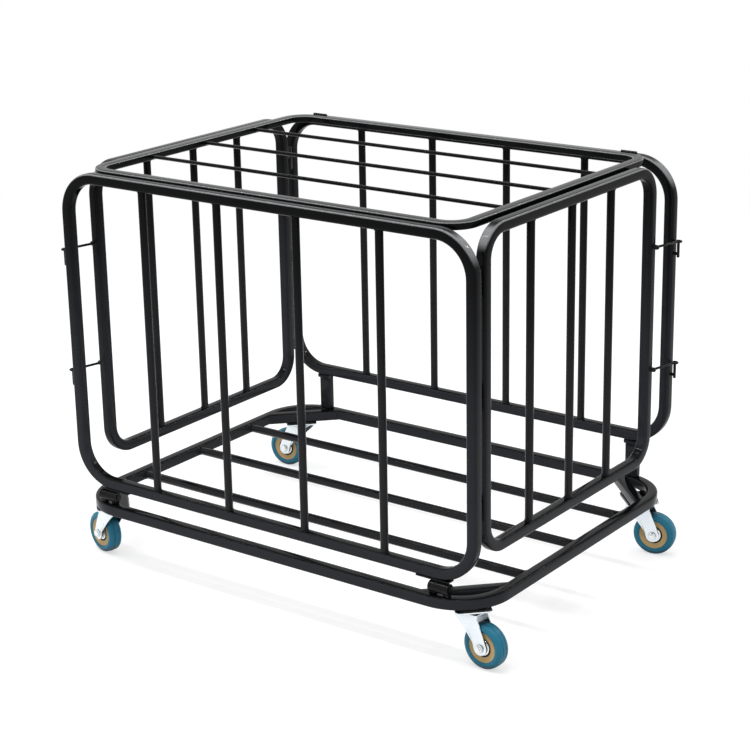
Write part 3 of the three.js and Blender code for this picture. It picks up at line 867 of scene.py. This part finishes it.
@dataclass
class Lid(SubAssembly):
    """The lid: a thin bent frame with three rods and two hinge leaves."""

    def leaf(self, side: int) -> list:
        """Middle knuckle of a lid hinge, hollow over the pin, and its leaf to the lid.

        Args:
            side: -1 for the left one, 1 for the right.

        Returns:
            The shells.
        """
        s = self.sizes
        (y, z), x = s.lid_pivot, side * s.lid_hinge_x
        half = s.lid_hinge_length / 4 - s.play
        r, inner = s.lid_hinge_radius, s.lid_pin_radius + s.play
        return [
            Surfaces.sleeve(inner, r, -half, half, 0.5, (x, y, z), ALONG_X),
            Surfaces.block((x - half, s.lid_half_y - s.tube * 0.3, s.lid_top - r * 0.9),
                           (x + half, y - inner - 0.3, s.lid_top), 0.5),
        ]

    def build(self) -> list:
        """Builds the lid's frame, with its hinge leaves, and its rods.

        Returns:
            The pieces.
        """
        s = self.sizes
        middle = s.lid_top - s.lid_thick / 2
        loop = Surfaces.bent_frame((s.lid_length, s.lid_half_y * 2), s.lid_bend,
                                   (s.tube, s.lid_thick, s.lid_round), 14, middle)
        shells = [loop] + self.leaf(-1) + self.leaf(1)
        return [Piece("lid_frame", "lid", "frame", shells)] + self.level_bars(
            "lid_bar", "lid", s.lid_length / 2 - s.tube, middle, s.lid_bar_spacing,
            diameter=s.lid_bar, weld=0.9, steps=20)


@dataclass
class Latches(SubAssembly):
    """Four links that turn on studs of the end panels, and the pegs that their eyes drop over."""

    def link(self, z: float) -> list:
        """Collar, arm and eye of a right-hand link. The eye is a round wire turned about the peg.

        Args:
            z: height of the link.

        Returns:
            The shells.
        """
        s = self.sizes
        start, peg = np.array([s.link_x, s.stud_y]), np.array(s.peg_spot)
        away = (peg - start) / np.linalg.norm(peg - start)
        inner = s.pin_radius + s.play
        w = np.arange(16) / 16 * 2 * math.pi
        wire = np.stack([s.eye_radius + s.eye_wire * np.cos(w), z + s.eye_wire * np.sin(w)], -1)
        return [
            Surfaces.revolve(wire, (*peg, 0), ALONG_Z, steps=36, closed=True),
            Surfaces.rod((*(start + away * (inner + 0.4)), z), (*(peg - away * s.eye_radius), z),
                         s.link_radius, soft=0.3),
            Surfaces.sleeve(inner, s.collar_radius, -s.collar_half, s.collar_half, 0.5,
                            (*start, z), ALONG_X, 24),
        ]

    def peg(self, z: float) -> list:
        """The upright peg under a right-hand link's eye, on a bracket of the back panel's post.

        Args:
            z: height of the link.

        Returns:
            The shells.
        """
        s = self.sizes
        (x, y), top, wide = s.peg_spot, z - s.eye_wire - s.play * 2, s.peg_radius * 0.8
        foot = top - s.peg_length
        return [
            Surfaces.rod((x, y, foot), (x, y, top), s.peg_radius, soft=1.2),
            Surfaces.block((s.half_length - 0.3, y - wide, foot + s.peg_length * 0.15),
                           (x + wide, y + wide, foot + s.peg_length * 0.35), 0.8),
        ]

    def build(self) -> list:
        """Builds the four links and the four pegs.

        Returns:
            The pieces.
        """
        pieces = []
        for level, z in LATCH_HEIGHTS.items():
            for side, change in ENDS:
                link = f"latch_{side}_{level}"
                pieces += [Piece(link, link, "fitting", change(self.link(z))),
                           Piece(f"latch_peg_{side}_{level}", "chassis", "fitting",
                                 change(self.peg(z)))]
        return pieces


@dataclass
class FrontHinges(SubAssembly):
    """Two fat barrels between the base's front rail and the front panel's bottom rail."""

    def hinge(self, side: int) -> list:
        """Barrel with grooves and pin ends, turned about its axis, and webs to both rails.

        Args:
            side: -1 for the left one, 1 for the right.

        Returns:
            The shells.
        """
        s = self.sizes
        x, y = side * s.front_hinge_x, -s.half_depth + s.tube * 0.2
        z, half, r = (s.base_top + s.panel_bottom) / 2, s.front_hinge_length / 2, s.front_hinge_radius
        sixth, groove, pin, web = half / 3, s.play * 2, r * 0.42, r * 0.45
        profile = Surfaces.mirrored([
            (0, -half - pin / 2), (pin * 0.8, -half - pin / 2), (pin, -half - pin / 3), (pin, -half),
            (r * 0.9, -half), (r, -half + r * 0.1), (r, -sixth - groove),
            (r - groove, -sixth - groove), (r - groove, -sixth), (r, -sixth)])
        leaf = sorted((x + side * half * 0.9, x + side * (half * 0.9 - s.front_leaf_length)))
        shells = [
            Surfaces.revolve(profile, (x, y, z), ALONG_X, steps=36),
            Surfaces.block((x - sixth, y + web / 4, z), (x + sixth, y + web * 2, s.panel_bottom), 0.6),
            Surfaces.block((leaf[0], -s.half_depth + s.tube * 0.1, s.panel_bottom - s.front_leaf_thick),
                           (leaf[1], -s.half_depth + s.tube * 0.9, s.panel_bottom), 0.6),
        ]
        for end in SIDES:
            start = x + end * (half + sixth + groove) / 2 - sixth / 1.2
            shells.append(Surfaces.block((start, y - web, s.base_top),
                                         (start + sixth / 0.6, y + web, z), 0.6))
        return shells

    def build(self) -> list:
        """Returns both front hinges."""
        return [Piece(f"front_hinge_{name}", "chassis", "fitting", self.hinge(side))
                for name, side in (("left", -1), ("right", 1))]


@dataclass
class Caster(SubAssembly):
    """One swivel caster: plate, pressed fork, axle bolt, tyre, rim and hub."""

    corner: Corner = Corner.FRONT_RIGHT
    sheet: float = 2.5
    plate_round: float = 7.0
    bolt_inset: float = 9.0
    cup_depth: float = 4.0
    cup_radius: float = 21.0
    crown_length: float = 44.1
    crown_shift: float = 1.05
    crown_round: float = 5.0
    eye_radius: float = 12.0
    leg_middle: tuple = (6.0, 68.0)
    fold_start: float = 11.0
    fold_slope: float = 0.33
    fold_lean: float = 0.09
    rim_outer: float = SIZES.wheel_radius * 0.68
    rim_inner: float = SIZES.wheel_radius * 0.42
    half: float = SIZES.wheel_width / 2
    leg_inner: float = half + 2.2
    leg_outer: float = leg_inner + sheet
    plate_bottom: float = SIZES.caster_height - SIZES.plate_thick
    crown_top: float = plate_bottom - cup_depth - SIZES.play

    def about_axle(self, profile: list, finish: Finish, steps: int, closed: bool = False) -> Shell:
        """Turns a profile about the wheel's axle."""
        spot = (self.sizes.trail, 0, self.sizes.wheel_radius)
        return Surfaces.revolve(profile, spot, ALONG_Y, finish, steps, closed)

    @staticmethod
    def pressed(points: list, height: float, steps: int, spot: tuple = (0, 0)) -> Shell:
        """A pressed or turned zinc part: points of radius and rise above a height, about Z."""
        profile = [(radius, height + rise) for radius, rise in points]
        return Surfaces.revolve(profile, (*spot, 0), ALONG_Z, Finish.ZINC, steps)

    def plate(self) -> list:
        """Mounting plate with rounded corners, raceway cup and four bolts.

        The lip of the cup's profile is a quarter circle.

        Returns:
            The shells.
        """
        s, cup, depth = self.sizes, self.cup_radius, self.cup_depth
        outline = Surfaces.section(s.plate_size, s.plate_size, self.plate_round, 6)
        lip = [(cup - 2 + 2 * math.sin(a), -2 - 2 * math.cos(a)) for a in np.linspace(0, math.pi / 2, 6)]
        race = [(0, -depth), (10, -depth), (11, -3.2), (16, -3.2), (17, -depth), *lip, (cup, -0.6),
                (cup - 1.2, 0.3), (0, 0.3)]
        bolt = [(0, -3), (3.6, -3), (4.6, -2.4), (4.6, 0.2), (0, 0.2)]
        spread = s.plate_size / 2 - self.bolt_inset
        return [
            Surfaces.slab(outline, self.plate_bottom, s.caster_height, 0.6, Finish.ZINC),
            self.pressed(race, self.plate_bottom, 48),
        ] + [self.pressed(bolt, self.plate_bottom, 6, (sx * spread, sy * spread))
             for sx in SIDES for sy in SIDES]

    def leg_outline(self) -> np.ndarray:
        """Outline of a fork leg, seen from the side.

        It runs down the bulged back edge, round the eye about the axle, up the front edge and back
        along the crown.

        Returns:
            Points (n, 2) of distance ahead of the swivel axis and height.
        """
        s, top = self.sizes, self.crown_top
        rear, ahead = -self.cup_radius, self.cup_radius * 1.1
        t = np.linspace(math.pi * 0.93, math.pi * 2.2, 24)
        eye = np.array([s.trail, s.wheel_radius]) + self.eye_radius * np.stack([np.cos(t), np.sin(t)], -1)
        run = np.linspace(0, 1, 13)[1:-1, None]
        bulge = np.sin(run * math.pi)
        back_start, front_end = np.array([rear, top - 8]), np.array([ahead, top - 9])
        back = back_start + run * (eye[0] - back_start) + bulge * [1.6, 1.0]
        front = eye[-1] + run * (front_end - eye[-1]) + bulge * [0.9, 0]
        crown = np.stack([np.linspace(ahead, rear, 17), np.full(17, top - 0.6)], -1)
        return np.concatenate([[back_start], back, eye, front, [front_end], crown])

    def leg(self, side: int) -> Shell:
        """A fork leg: its outline is carried across the sheet, with the leading edge folded in.

        A row is a depth in the sheet, how far its edge is pulled in, and the share of the way from
        the middle to the outline. Points ahead of the fold line lean inwards in proportion to their
        distance past it.

        Args:
            side: -1 or 1, the side of the wheel.

        Returns:
            The closed shell.
        """
        middle = np.array(self.leg_middle)
        out = self.leg_outline() - middle
        away = out / np.linalg.norm(out, axis=1)[:, None]
        rows = [(0.0, 0.4, share) for share in (0, 0.45, 0.85, 1)] + [(0.35, 0.0, 1)]
        rows += [(self.sheet - depth, pull, share) for depth, pull, share in rows[::-1]]
        grid = []
        for depth, pull, share in rows:
            x, z = (middle + (out - away * pull) * share).T
            past = x - self.fold_start - (middle[1] - z) * self.fold_slope
            lean = np.clip(past, 0, None) * self.fold_lean
            grid.append(np.stack([x, side * (self.leg_inner + depth - lean), z], -1))
        return Surfaces.shell(np.stack(grid), Finish.ZINC)

    def fork(self) -> list:
        """Crown with a raised ring above, a rivet below, and both legs.

        Returns:
            The shells.
        """
        top = self.crown_top
        outline = Surfaces.section(self.crown_length, self.leg_outer * 2, self.crown_round, 6)
        outline += [self.crown_shift, 0]
        ring = [(0, -1), (12, -1), (13, 0), (15.5, 0), (16.5, -1), (16.5, -2), (0, -2)]
        rivet = [(0, -5.5), (5.5, -5.5), (6.5, -4.6), (6.5, -2.6), (0, -2.6)]
        return [Surfaces.slab(outline, top - 3, top - 0.2, 0.7, Finish.ZINC),
                self.pressed(ring, top, 40), self.pressed(rivet, top, 24), self.leg(1), self.leg(-1)]

    def axle(self) -> list:
        """Bolt with a hexagon head, a nut, washers and the thread's end.

        Head and nut are one profile turned about the axle in six steps.

        Returns:
            The shells.
        """
        out = self.leg_outer
        washer = [(0, 0), (6.5, 0), (6.5, 0.5), (6.2, 0.8), (0, 0.8)]
        head = [(0, 0.6), (6.256, 0.6), (6.392, 1.1), (6.392, 3.6), (5.576, 4.5), (0, 4.5)]
        shells = [self.about_axle([(0, -out - 1), (4, -out - 1), (4, out + 1), (0, out + 1)],
                                  Finish.HUB, 24)]
        for side in SIDES:
            shells += [self.about_axle([(r, side * (out + d)) for r, d in points][::side],
                                       Finish.HUB, steps) for points, steps in ((washer, 32), (head, 6))]
        thread = [(0, -out - 6.3), (3.2, -out - 6.3)]
        for turn in range(4, -1, -1):
            crest = -out - 4.2 - turn * 0.42
            thread += [(3.45, crest - 0.18), (3.9, crest)]
        thread += [(3.9, -out - 3.8), (0, -out - 3.8)]
        return shells + [self.about_axle(thread, Finish.HUB, 24)]

    def tyre(self) -> list:
        """Tyre with grooves round its tread and a step on each side wall.

        The profile lists depth below the tread and distance from the middle. Its mirror
        image is the other half, and both are turned about the axle.

        Returns:
            The shells.
        """
        s, half, inner = self.sizes, self.half, self.rim_outer
        tread = [(0, 0), (0, 2.6), (0.1, 3.3), (0.75, 3.6), (0.75, 4.2), (0.25, 4.5), (0.5, 7.6),
                 (0.8, 8.7), (1.5, 9.7), (2.5, 10.5), (3.7, 11.1), (4.3, 11.2), (4.6, 11.6),
                 (5.6, 12.1), (7, half), (9.6, half), (10.1, half - 0.45), (11, half - 0.55)]
        right = [(s.wheel_radius - sunk, across) for sunk, across in tread]
        right += [(inner + 0.6, half - 0.8), (inner, half - 1.2)]
        left = [(r, -w) for r, w in right[1:]][::-1]
        return [Surfaces.revolve((left + right)[::-1], (s.trail, 0, s.wheel_radius), (0, -1, 0),
                                 Finish.TYRE, 96, True)]

    def rim(self) -> list:
        """Moulded rim ring, dished between its flanges, with the dark seal in its bore.

        The ring's profile lists radius and share of the half width.

        Returns:
            The shells.
        """
        half, outer, inner = self.half, self.rim_outer, self.rim_inner
        side = [(inner, 0.7), (inner + 0.5, 0.76), (inner + 1, 0.77), (inner + 3, 0.75),
                (outer * 0.88, 0.78), (outer - 1.6, 0.84), (outer - 1, 0.87), (outer - 0.3, 0.87),
                (outer, 0.85)]
        seal = [(-2.2, -1.2), (0.1, -1.2), (0.7, 1.0), (-0.4, 1.5), (-2.2, 1.1)]
        ring = Surfaces.mirrored([(radius, share * half) for radius, share in side])
        return [self.about_axle(ring, Finish.RIM, 80, True)] + [
            self.about_axle([(inner + r, sign * (half * 0.7 + d)) for r, d in seal][::sign],
                            Finish.SEAL, 64, True) for sign in SIDES]

    def hub(self) -> list:
        """Steel hub with pressed covers, a rolled step and the bearing's inner ring.

        The steps of its profile are shares of the outer radius and of the half width.

        Returns:
            The shells.
        """
        half, outer, bore = self.half, self.rim_inner - 0.1, 4.3
        cap = self.leg_inner - self.sizes.play
        steps = [(0.52, 0.93), (0.6, 0.9), (0.63, 0.86), (0.72, 0.86), (0.76, 0.82), (0.85, 0.8),
                 (0.88, 0.74), (0.885, 0.6), (1, 0.56)]
        side = [(bore, cap), (outer * 0.47, cap), (outer * 0.5, cap - 0.5)]
        side += [(outer * radius, half * across) for radius, across in steps]
        return [self.about_axle(Surfaces.mirrored(side), Finish.HUB, 64, True)]

    def build(self) -> list:
        """Builds the caster's six pieces, turned to their angles and set at the corner.

        Returns:
            The pieces.
        """
        label, turn = self.corner.label, math.radians(self.corner.value[2])
        parts = [
            ("caster_plate", "chassis", "zinc", self.plate(), math.pi / 4, 35.0),
            ("caster_fork", f"fork_{label}", "zinc", self.fork(), turn, 26.0),
            ("caster_axle", f"fork_{label}", "zinc", self.axle(), turn, 35.0),
            ("tyre", f"wheel_{label}", "tyre", self.tyre(), turn, 50.0),
            ("rim", f"wheel_{label}", "rim", self.rim(), turn, 35.0),
            ("hub", f"wheel_{label}", "hub", self.hub(), turn, 35.0),
        ]
        return [Piece(f"{kind}_{label}", body, slot,
                      [shell.turned(angle, self.corner.spot) for shell in shells], crease)
                for kind, body, slot, shells, angle, crease in parts]


class Wire:
    """A value in a material's node tree. Arithmetic on it adds the nodes that work it out."""

    def __init__(self, graph: "Graph", socket: bpy.types.NodeSocket) -> None:
        """Keeps a socket together with its graph."""
        self.graph = graph
        self.socket = socket

    def math(self, operation: str, *values: "Wire | float", clamp: bool = False) -> "Wire":
        """Adds a Math node on values that may be wires or plain numbers."""
        return self.graph.node("Math", 0, dict(enumerate(values)), operation=operation,
                               use_clamp=clamp)

    def __add__(self, other: "Wire | float") -> "Wire":
        """This value plus another."""
        return self.math("ADD", self, other)

    def __sub__(self, other: "Wire | float") -> "Wire":
        """This value minus another."""
        return self.math("SUBTRACT", self, other)

    def __rsub__(self, other: float) -> "Wire":
        """A plain number minus this value."""
        return self.math("SUBTRACT", other, self)

    def __mul__(self, other: "Wire | float") -> "Wire":
        """This value times another."""
        return self.math("MULTIPLY", self, other)

    __radd__ = __add__
    __rmul__ = __mul__

    def clamped(self) -> "Wire":
        """The value held between 0 and 1."""
        return self.math("ADD", self, 0.0, clamp=True)

    def between(self, low: float, high: float) -> "Wire":
        """A smooth step: 0 below low and 1 above high."""
        return self.graph.node("MapRange", "Result", {"Value": self, "From Min": low, "From Max": high},
                               interpolation_type="SMOOTHSTEP")


class Graph:
    """The node tree of a material or world, with short ways to add to it."""

    def __init__(self, owner: bpy.types.ID) -> None:
        """Turns on the nodes of a material or world and keeps its tree."""
        owner.use_nodes = True
        self.owner, self.tree = owner, owner.node_tree

    def join(self, value: "Wire | float | tuple", socket: bpy.types.NodeSocket) -> None:
        """Links a wire to a socket, or sets the socket to a plain value.

        Args:
            value: the wire or the value.
            socket: the socket that takes it.
        """
        if isinstance(value, Wire):
            self.tree.links.new(value.socket, socket)
        else:
            socket.default_value = value

    def node(self, kind: str, output: str | int, inputs: dict | None = None,
             **settings: object) -> Wire:
        """Adds a node.

        Args:
            kind: the node's type without ShaderNode.
            output: name or number of the socket to return.
            inputs: values or wires for its sockets, by name or number.
            settings: values for its properties.

        Returns:
            The output's wire.
        """
        node = self.tree.nodes.new(f"ShaderNode{kind}")
        for key, value in settings.items():
            setattr(node, key, value)
        for key, value in (inputs or {}).items():
            self.join(value, node.inputs[key])
        return Wire(self, node.outputs[output])

    def place(self) -> Wire:
        """The point on the surface in the object's own axes."""
        return self.node("TexCoord", "Object")

    def upward(self) -> Wire:
        """How far the surface faces up in the object's own axes: 1 straight up, 0 sideways."""
        return self.node("SeparateXYZ", "Z", {"Vector": self.node("TexCoord", "Normal")})

    def noise(self, scale: float, detail: float = 3.0, roughness: float = 0.5) -> Wire:
        """Noise from 0 to 1 over the object; scale is in waves for each metre."""
        return self.node("TexNoise", "Fac", {"Vector": self.place(), "Scale": scale,
                                             "Detail": detail, "Roughness": roughness})

    def worn(self, width: float) -> Wire:
        """How far the surface bends away: 1 minus the dot product of rounded and plain normal.

        Args:
            width: radius in metres that the normal is rounded over.

        Returns:
            A wire that is 0 on flat faces and more at edges.
        """
        smooth = self.node("Bevel", "Normal", {"Radius": width}, samples=4)
        flat = self.node("NewGeometry", "Normal")
        return 1.0 - self.node("VectorMath", "Value", {0: smooth, 1: flat}, operation="DOT_PRODUCT")

    def blend(self, share: Wire, *ends: Wire | tuple) -> Wire:
        """A colour between two: the first where the share is 0 and the second where it is 1."""
        first, second = (end if isinstance(end, Wire) else (*end, 1.0) for end in ends)
        return self.node("Mix", 2, {"Factor": share, 6: first, 7: second}, data_type="RGBA")

    def bump(self, height: Wire, strength: float, distance: float) -> Wire:
        """A surface normal from a height."""
        return self.node("Bump", "Normal", {"Height": height, "Strength": strength,
                                            "Distance": distance})

    def seen(self) -> Wire:
        """Tells the rays that see the backdrop from those that only light the cart.

        Returns:
            A wire that is 1 for camera, glossy and transmission rays and 0 for the others.
        """
        camera, glossy, through = (self.node("LightPath", f"Is {kind} Ray")
                                   for kind in ("Camera", "Glossy", "Transmission"))
        return (camera + glossy + through).clamped()

    def finish(self, channels: dict) -> bpy.types.Material:
        """Joins channels and constants to the shader.

        Args:
            channels: wires or values, by the names of the shader's inputs.

        Returns:
            The material.
        """
        for name, value in channels.items():
            self.join(value, self.tree.nodes["Principled BSDF"].inputs[name])
        return self.owner


@dataclass(frozen=True)
class SurfaceFinish:
    """A finish: its main colour, tones that vary it, wear it and paint light on it, its gloss and its
    relief.

    Three painted marks are optional: painted light on upright faces that grows towards the floor, a
    painted highlight along rounded upper edges, and painted shade in hollows and gaps.
    """

    colour: tuple
    second: tuple
    edge: tuple
    roughness: float
    roughness_swing: float
    metallic: float = 0.0
    specular: float = 0.5
    patch_scale: float = 14.0
    grain_scale: float = 900.0
    grain_depth: float = 0.00008
    dimple: bool = False
    edge_share: float = 0.4
    painted_side_light: tuple | None = None
    painted_highlight: tuple | None = None
    hollow_shade: tuple | None = None

    def make(self, name: str) -> bpy.types.Material:
        """Builds the material.

        Colour drifts between two tones in broad patches, with a third where the surface bends
        sharply. Roughness follows the same patches and a finer noise. Relief is either orange-peel
        cells or plain grain. Painted light, a painted highlight and painted shade may be laid over the
        colour.

        Args:
            name: the material's name.

        Returns:
            The material.
        """
        graph = Graph(bpy.data.materials.new(name))
        patches = graph.noise(self.patch_scale, 4.0, 0.6)
        fine = graph.noise(self.grain_scale * 0.4, 2.0)
        tone = graph.blend(patches.between(0.35, 0.7), self.colour, self.second)
        wear = (graph.worn(0.0015) * 6.0 * (patches * 0.8 + 0.5)).clamped()
        colour = graph.blend(wear * self.edge_share, tone, self.edge)
        roughness = (self.roughness + (patches - 0.5) * self.roughness_swing
                     + (fine - 0.5) * (self.roughness_swing * 0.6)).clamped()
        height = graph.node("SeparateXYZ", "Z", {"Vector": graph.place()})
        up = graph.upward()
        # Painted light: upright faces are made lighter, most near the floor, as if lit by the pale floor.
        if self.painted_side_light:
            rise = height.between(0.1, 0.72)
            low, side = 1.0 - rise * rise, 1.0 - (up * up).between(0.1, 0.6)
            share = (low * side * (patches * 0.5 + 0.75)).clamped()
            colour = graph.blend(share, colour, self.painted_side_light)
        # Painted highlight: a light line along the rounded upper edges of the top rails and lid.
        if self.painted_highlight:
            edge = up.between(0.25, 0.55) * (1.0 - up.between(0.8, 0.95))
            share = (edge * height.between(0.52, 0.66) * (fine * 0.5 + 0.7)).clamped()
            colour = graph.blend(share, colour, self.painted_highlight)
        # Painted shade: ambient occlusion darkens the colour in hollows and where neighbouring parts come
        # close.
        if self.hollow_shade:
            unshaded = graph.node("AmbientOcclusion", "AO", {"Distance": 0.03}, samples=6)
            colour = graph.blend(unshaded.between(0.3, 0.85), self.hollow_shade, colour)
        grain = graph.noise(self.grain_scale, 2.0)
        if self.dimple:
            cells = graph.node("TexVoronoi", "Distance",
                               {"Vector": graph.place(), "Scale": self.grain_scale})
            grain = cells * 0.7 + grain * 0.3
        return graph.finish({"Base Color": colour, "Roughness": roughness,
                             "Normal": graph.bump(grain, 0.35, self.grain_depth),
                             "Metallic": self.metallic, "Specular IOR Level": self.specular})


FINISHES = {
    Finish.FRAME_COAT: SurfaceFinish(
        (0.0028, 0.0031, 0.0036), (0.0042, 0.0046, 0.0053), (0.012, 0.0125, 0.014), 0.11, 0.05,
        specular=0.065, dimple=True, grain_scale=520.0, grain_depth=0.00005,
        # Painted light on upright faces and a painted highlight on upper edges.
        painted_side_light=(0.034, 0.036, 0.042), painted_highlight=(0.26, 0.265, 0.27)),
    Finish.BAR_COAT: SurfaceFinish(
        (0.0026, 0.0028, 0.0032), (0.0038, 0.0041, 0.0047), (0.011, 0.0115, 0.013), 0.14, 0.06,
        specular=0.075, dimple=True, grain_scale=560.0, grain_depth=0.00005,
        # Painted light on upright faces.
        painted_side_light=(0.03, 0.031, 0.034)),
    Finish.FITTING_COAT: SurfaceFinish(
        (0.0024, 0.0025, 0.0028), (0.0045, 0.0046, 0.005), (0.03, 0.03, 0.032), 0.2, 0.1,
        specular=0.14, dimple=True, grain_scale=700.0, edge_share=0.6),
    Finish.ZINC: SurfaceFinish(
        (0.80, 0.865, 0.91), (0.86, 0.91, 0.95), (0.94, 0.97, 0.99), 0.26, 0.1, metallic=0.85,
        # Painted shade in hollows and in the gaps under the plate and between the fork's legs.
        patch_scale=60.0, grain_scale=1500.0, grain_depth=0.00002, hollow_shade=(0.07, 0.09, 0.11)),
    Finish.TYRE: SurfaceFinish(
        (0.021, 0.205, 0.32), (0.028, 0.235, 0.36), (0.06, 0.3, 0.43), 0.4, 0.14, specular=0.25,
        patch_scale=40.0, grain_scale=1300.0, grain_depth=0.00005, edge_share=0.5,
        # Painted shade in hollows and under the fork.
        hollow_shade=(0.006, 0.045, 0.07)),
    Finish.RIM: SurfaceFinish(
        (0.68, 0.46, 0.2), (0.74, 0.52, 0.25), (0.8, 0.6, 0.32), 0.48, 0.14, specular=0.3,
        patch_scale=60.0, grain_scale=1600.0, grain_depth=0.00004),
    Finish.HUB: SurfaceFinish(
        (0.82, 0.85, 0.86), (0.88, 0.91, 0.92), (0.94, 0.96, 0.96), 0.22, 0.1, metallic=0.85,
        patch_scale=90.0, grain_scale=2000.0, grain_depth=0.00002),
    Finish.SEAL: SurfaceFinish(
        (0.004, 0.004, 0.005), (0.008, 0.008, 0.009), (0.02, 0.02, 0.02), 0.5, 0.16, specular=0.2,
        patch_scale=80.0, grain_scale=1500.0, grain_depth=0.00004),
}


@dataclass
class Studio:
    """Floor, world, soft lamps and the camera, which was solved from the photograph's edges."""

    target: tuple = (0.0, 0.0, 428.5)
    azimuth: float = 36.5376
    elevation: float = 18.0961
    roll: float = -1.0661
    distance: float = 3457.338
    offset: tuple = (-4.877, 86.746)
    focal_pixels: float = 1983.197
    picture_pixels: float = 750.0
    sensor: float = 36.0

    @staticmethod
    def placed(name: str, data: bpy.types.ID) -> bpy.types.Object:
        """Makes an object of the scene.

        Args:
            name: the object's name.
            data: its mesh, camera or light.

        Returns:
            The new object.
        """
        thing = bpy.data.objects.new(name, data)
        bpy.context.scene.collection.objects.link(thing)
        return thing

    def camera(self) -> None:
        """Places the camera at the photograph's angle, for a square picture."""
        a, e, roll = (math.radians(v) for v in (self.azimuth, self.elevation, self.roll))
        towards = Vector((math.sin(a) * math.cos(e), -math.cos(a) * math.cos(e), math.sin(e)))
        level = Vector((math.cos(a), math.sin(a), 0.0))
        steep = level.cross(-towards)
        right = level * math.cos(roll) + steep * math.sin(roll)
        up = steep * math.cos(roll) - level * math.sin(roll)
        spot = (Vector(self.target) + towards * self.distance - right * self.offset[0]
                - up * self.offset[1]) * MM
        data = bpy.data.cameras.new("photo_camera")
        data.sensor_fit = "HORIZONTAL"
        data.sensor_width = self.sensor
        data.lens = self.focal_pixels / self.picture_pixels * self.sensor
        data.clip_end = 50.0
        camera = self.placed("photo_camera", data)
        turn = Matrix((right, up, towards)).transposed()
        camera.matrix_world = Matrix.Translation(spot) @ turn.to_4x4()
        bpy.context.scene.camera = camera

    def lamp(self, name: str, spot: tuple, aim: tuple, size: tuple, power: float) -> None:
        """A rectangular soft lamp that faces a point, with its first side level.

        Args:
            name: the lamp's name.
            spot: its place in metres.
            aim: the point that it faces.
            size: its two sides in metres.
            power: its power in watts.
        """
        data = bpy.data.lights.new(name, "AREA")
        data.shape = "RECTANGLE"
        data.size, data.size_y = size
        data.energy = power
        lamp = self.placed(name, data)
        lamp.location = spot
        lamp.visible_camera = False
        lamp.rotation_euler = (Vector(aim) - Vector(spot)).to_track_quat("-Z", "Y").to_euler()

    @staticmethod
    def world() -> None:
        """A soft grey surrounding that camera, glossy and transmission rays see as white."""
        bpy.context.scene.world = bpy.data.worlds.new("studio")
        graph = Graph(bpy.context.scene.world)
        background = graph.tree.nodes["Background"]
        background.inputs["Color"].default_value = (1.0, 1.0, 1.0, 1.0)
        graph.join(0.5 + graph.seen() * 0.5, background.inputs["Strength"])

    @staticmethod
    def paper() -> bpy.types.Material:
        """Pale paper whose own colour gives way to plain white far from the cart.

        Returns:
            The material.
        """
        graph = Graph(bpy.data.materials.new(Finish.FLOOR.value))
        black, white = (0.0, 0.0, 0.0), (1.0, 1.0, 1.0)
        speck = graph.noise(6.0, 4.0, 0.6)
        reach = graph.node("VectorMath", "Value", {0: graph.place()}, operation="LENGTH")
        far = reach.between(1.0, 3.2)
        near = graph.blend(speck.between(0.3, 0.7), (0.52, 0.52, 0.52), (0.55, 0.55, 0.55))
        glow = graph.blend(far, (0.62, 0.62, 0.62), white)
        return graph.finish({
            "Base Color": graph.blend(far, near, black), "Roughness": 0.85 + (speck - 0.5) * 0.1,
            "Normal": graph.bump(graph.noise(400.0), 0.1, 0.0001), "Specular IOR Level": 0.0,
            "Emission Color": graph.blend(graph.seen(), black, glow), "Emission Strength": 1.0})

    def floor(self) -> None:
        """A plain pale floor that melts into the white surrounding."""
        t = np.linspace(0, 2 * math.pi, 65)[:-1]
        rings = [0.0, *np.linspace(0.5, 9.0, 12)]
        disc = Surfaces.shell(np.stack([
            np.stack([r * np.cos(t), r * np.sin(t), np.full_like(t, -0.0004)], -1) for r in rings]),
            Finish.FLOOR)
        mesh = bpy.data.meshes.new("floor")
        mesh.from_pydata(disc.points.tolist(), [], disc.faces)
        cleaned(mesh, 1e-6)
        if sum(face.normal.z for face in mesh.polygons) < 0:
            mesh.flip_normals()
        floor = self.placed("floor", mesh)
        mesh.materials.append(self.paper())

    def build(self) -> None:
        """Sets up the whole studio."""
        self.camera()
        self.world()
        self.floor()
        self.lamp("top_lamp", (-0.4, 0.6, 3.8), (0.0, 0.0, 0.4), (2.6, 1.4), 42.0)
        self.lamp("front_strip", (-0.6, -1.3, 3.2), (-0.6, 0.0, 0.4), (4.2, 0.09), 62.0)
        self.lamp("side_strip", (1.8, 3.4, 3.2), (0.0, 3.4, 0.4), (1.5, 0.1), 26.0)
        bpy.context.scene.view_settings.view_transform = "Standard"


def main() -> None:
    """Builds the finishes, the cart and the studio."""
    logging.basicConfig(level=logging.INFO, format="%(name)s: %(message)s")
    palette = {finish: spec.make(finish.value) for finish, spec in FINISHES.items()}
    assemblies = [Caster(corner=corner) for corner in Corner]
    assemblies += [BaseFrame(), FrontHinges(), LongPanels(), EndPanels(), Latches(), Lid()]
    pieces = [piece.build(palette) for assembly in assemblies for piece in assembly.build()]
    LOG.info("%d pieces, %d CAD nodes", len(pieces), len(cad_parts))
    Studio().build()


if __name__ == "__main__":
    main()
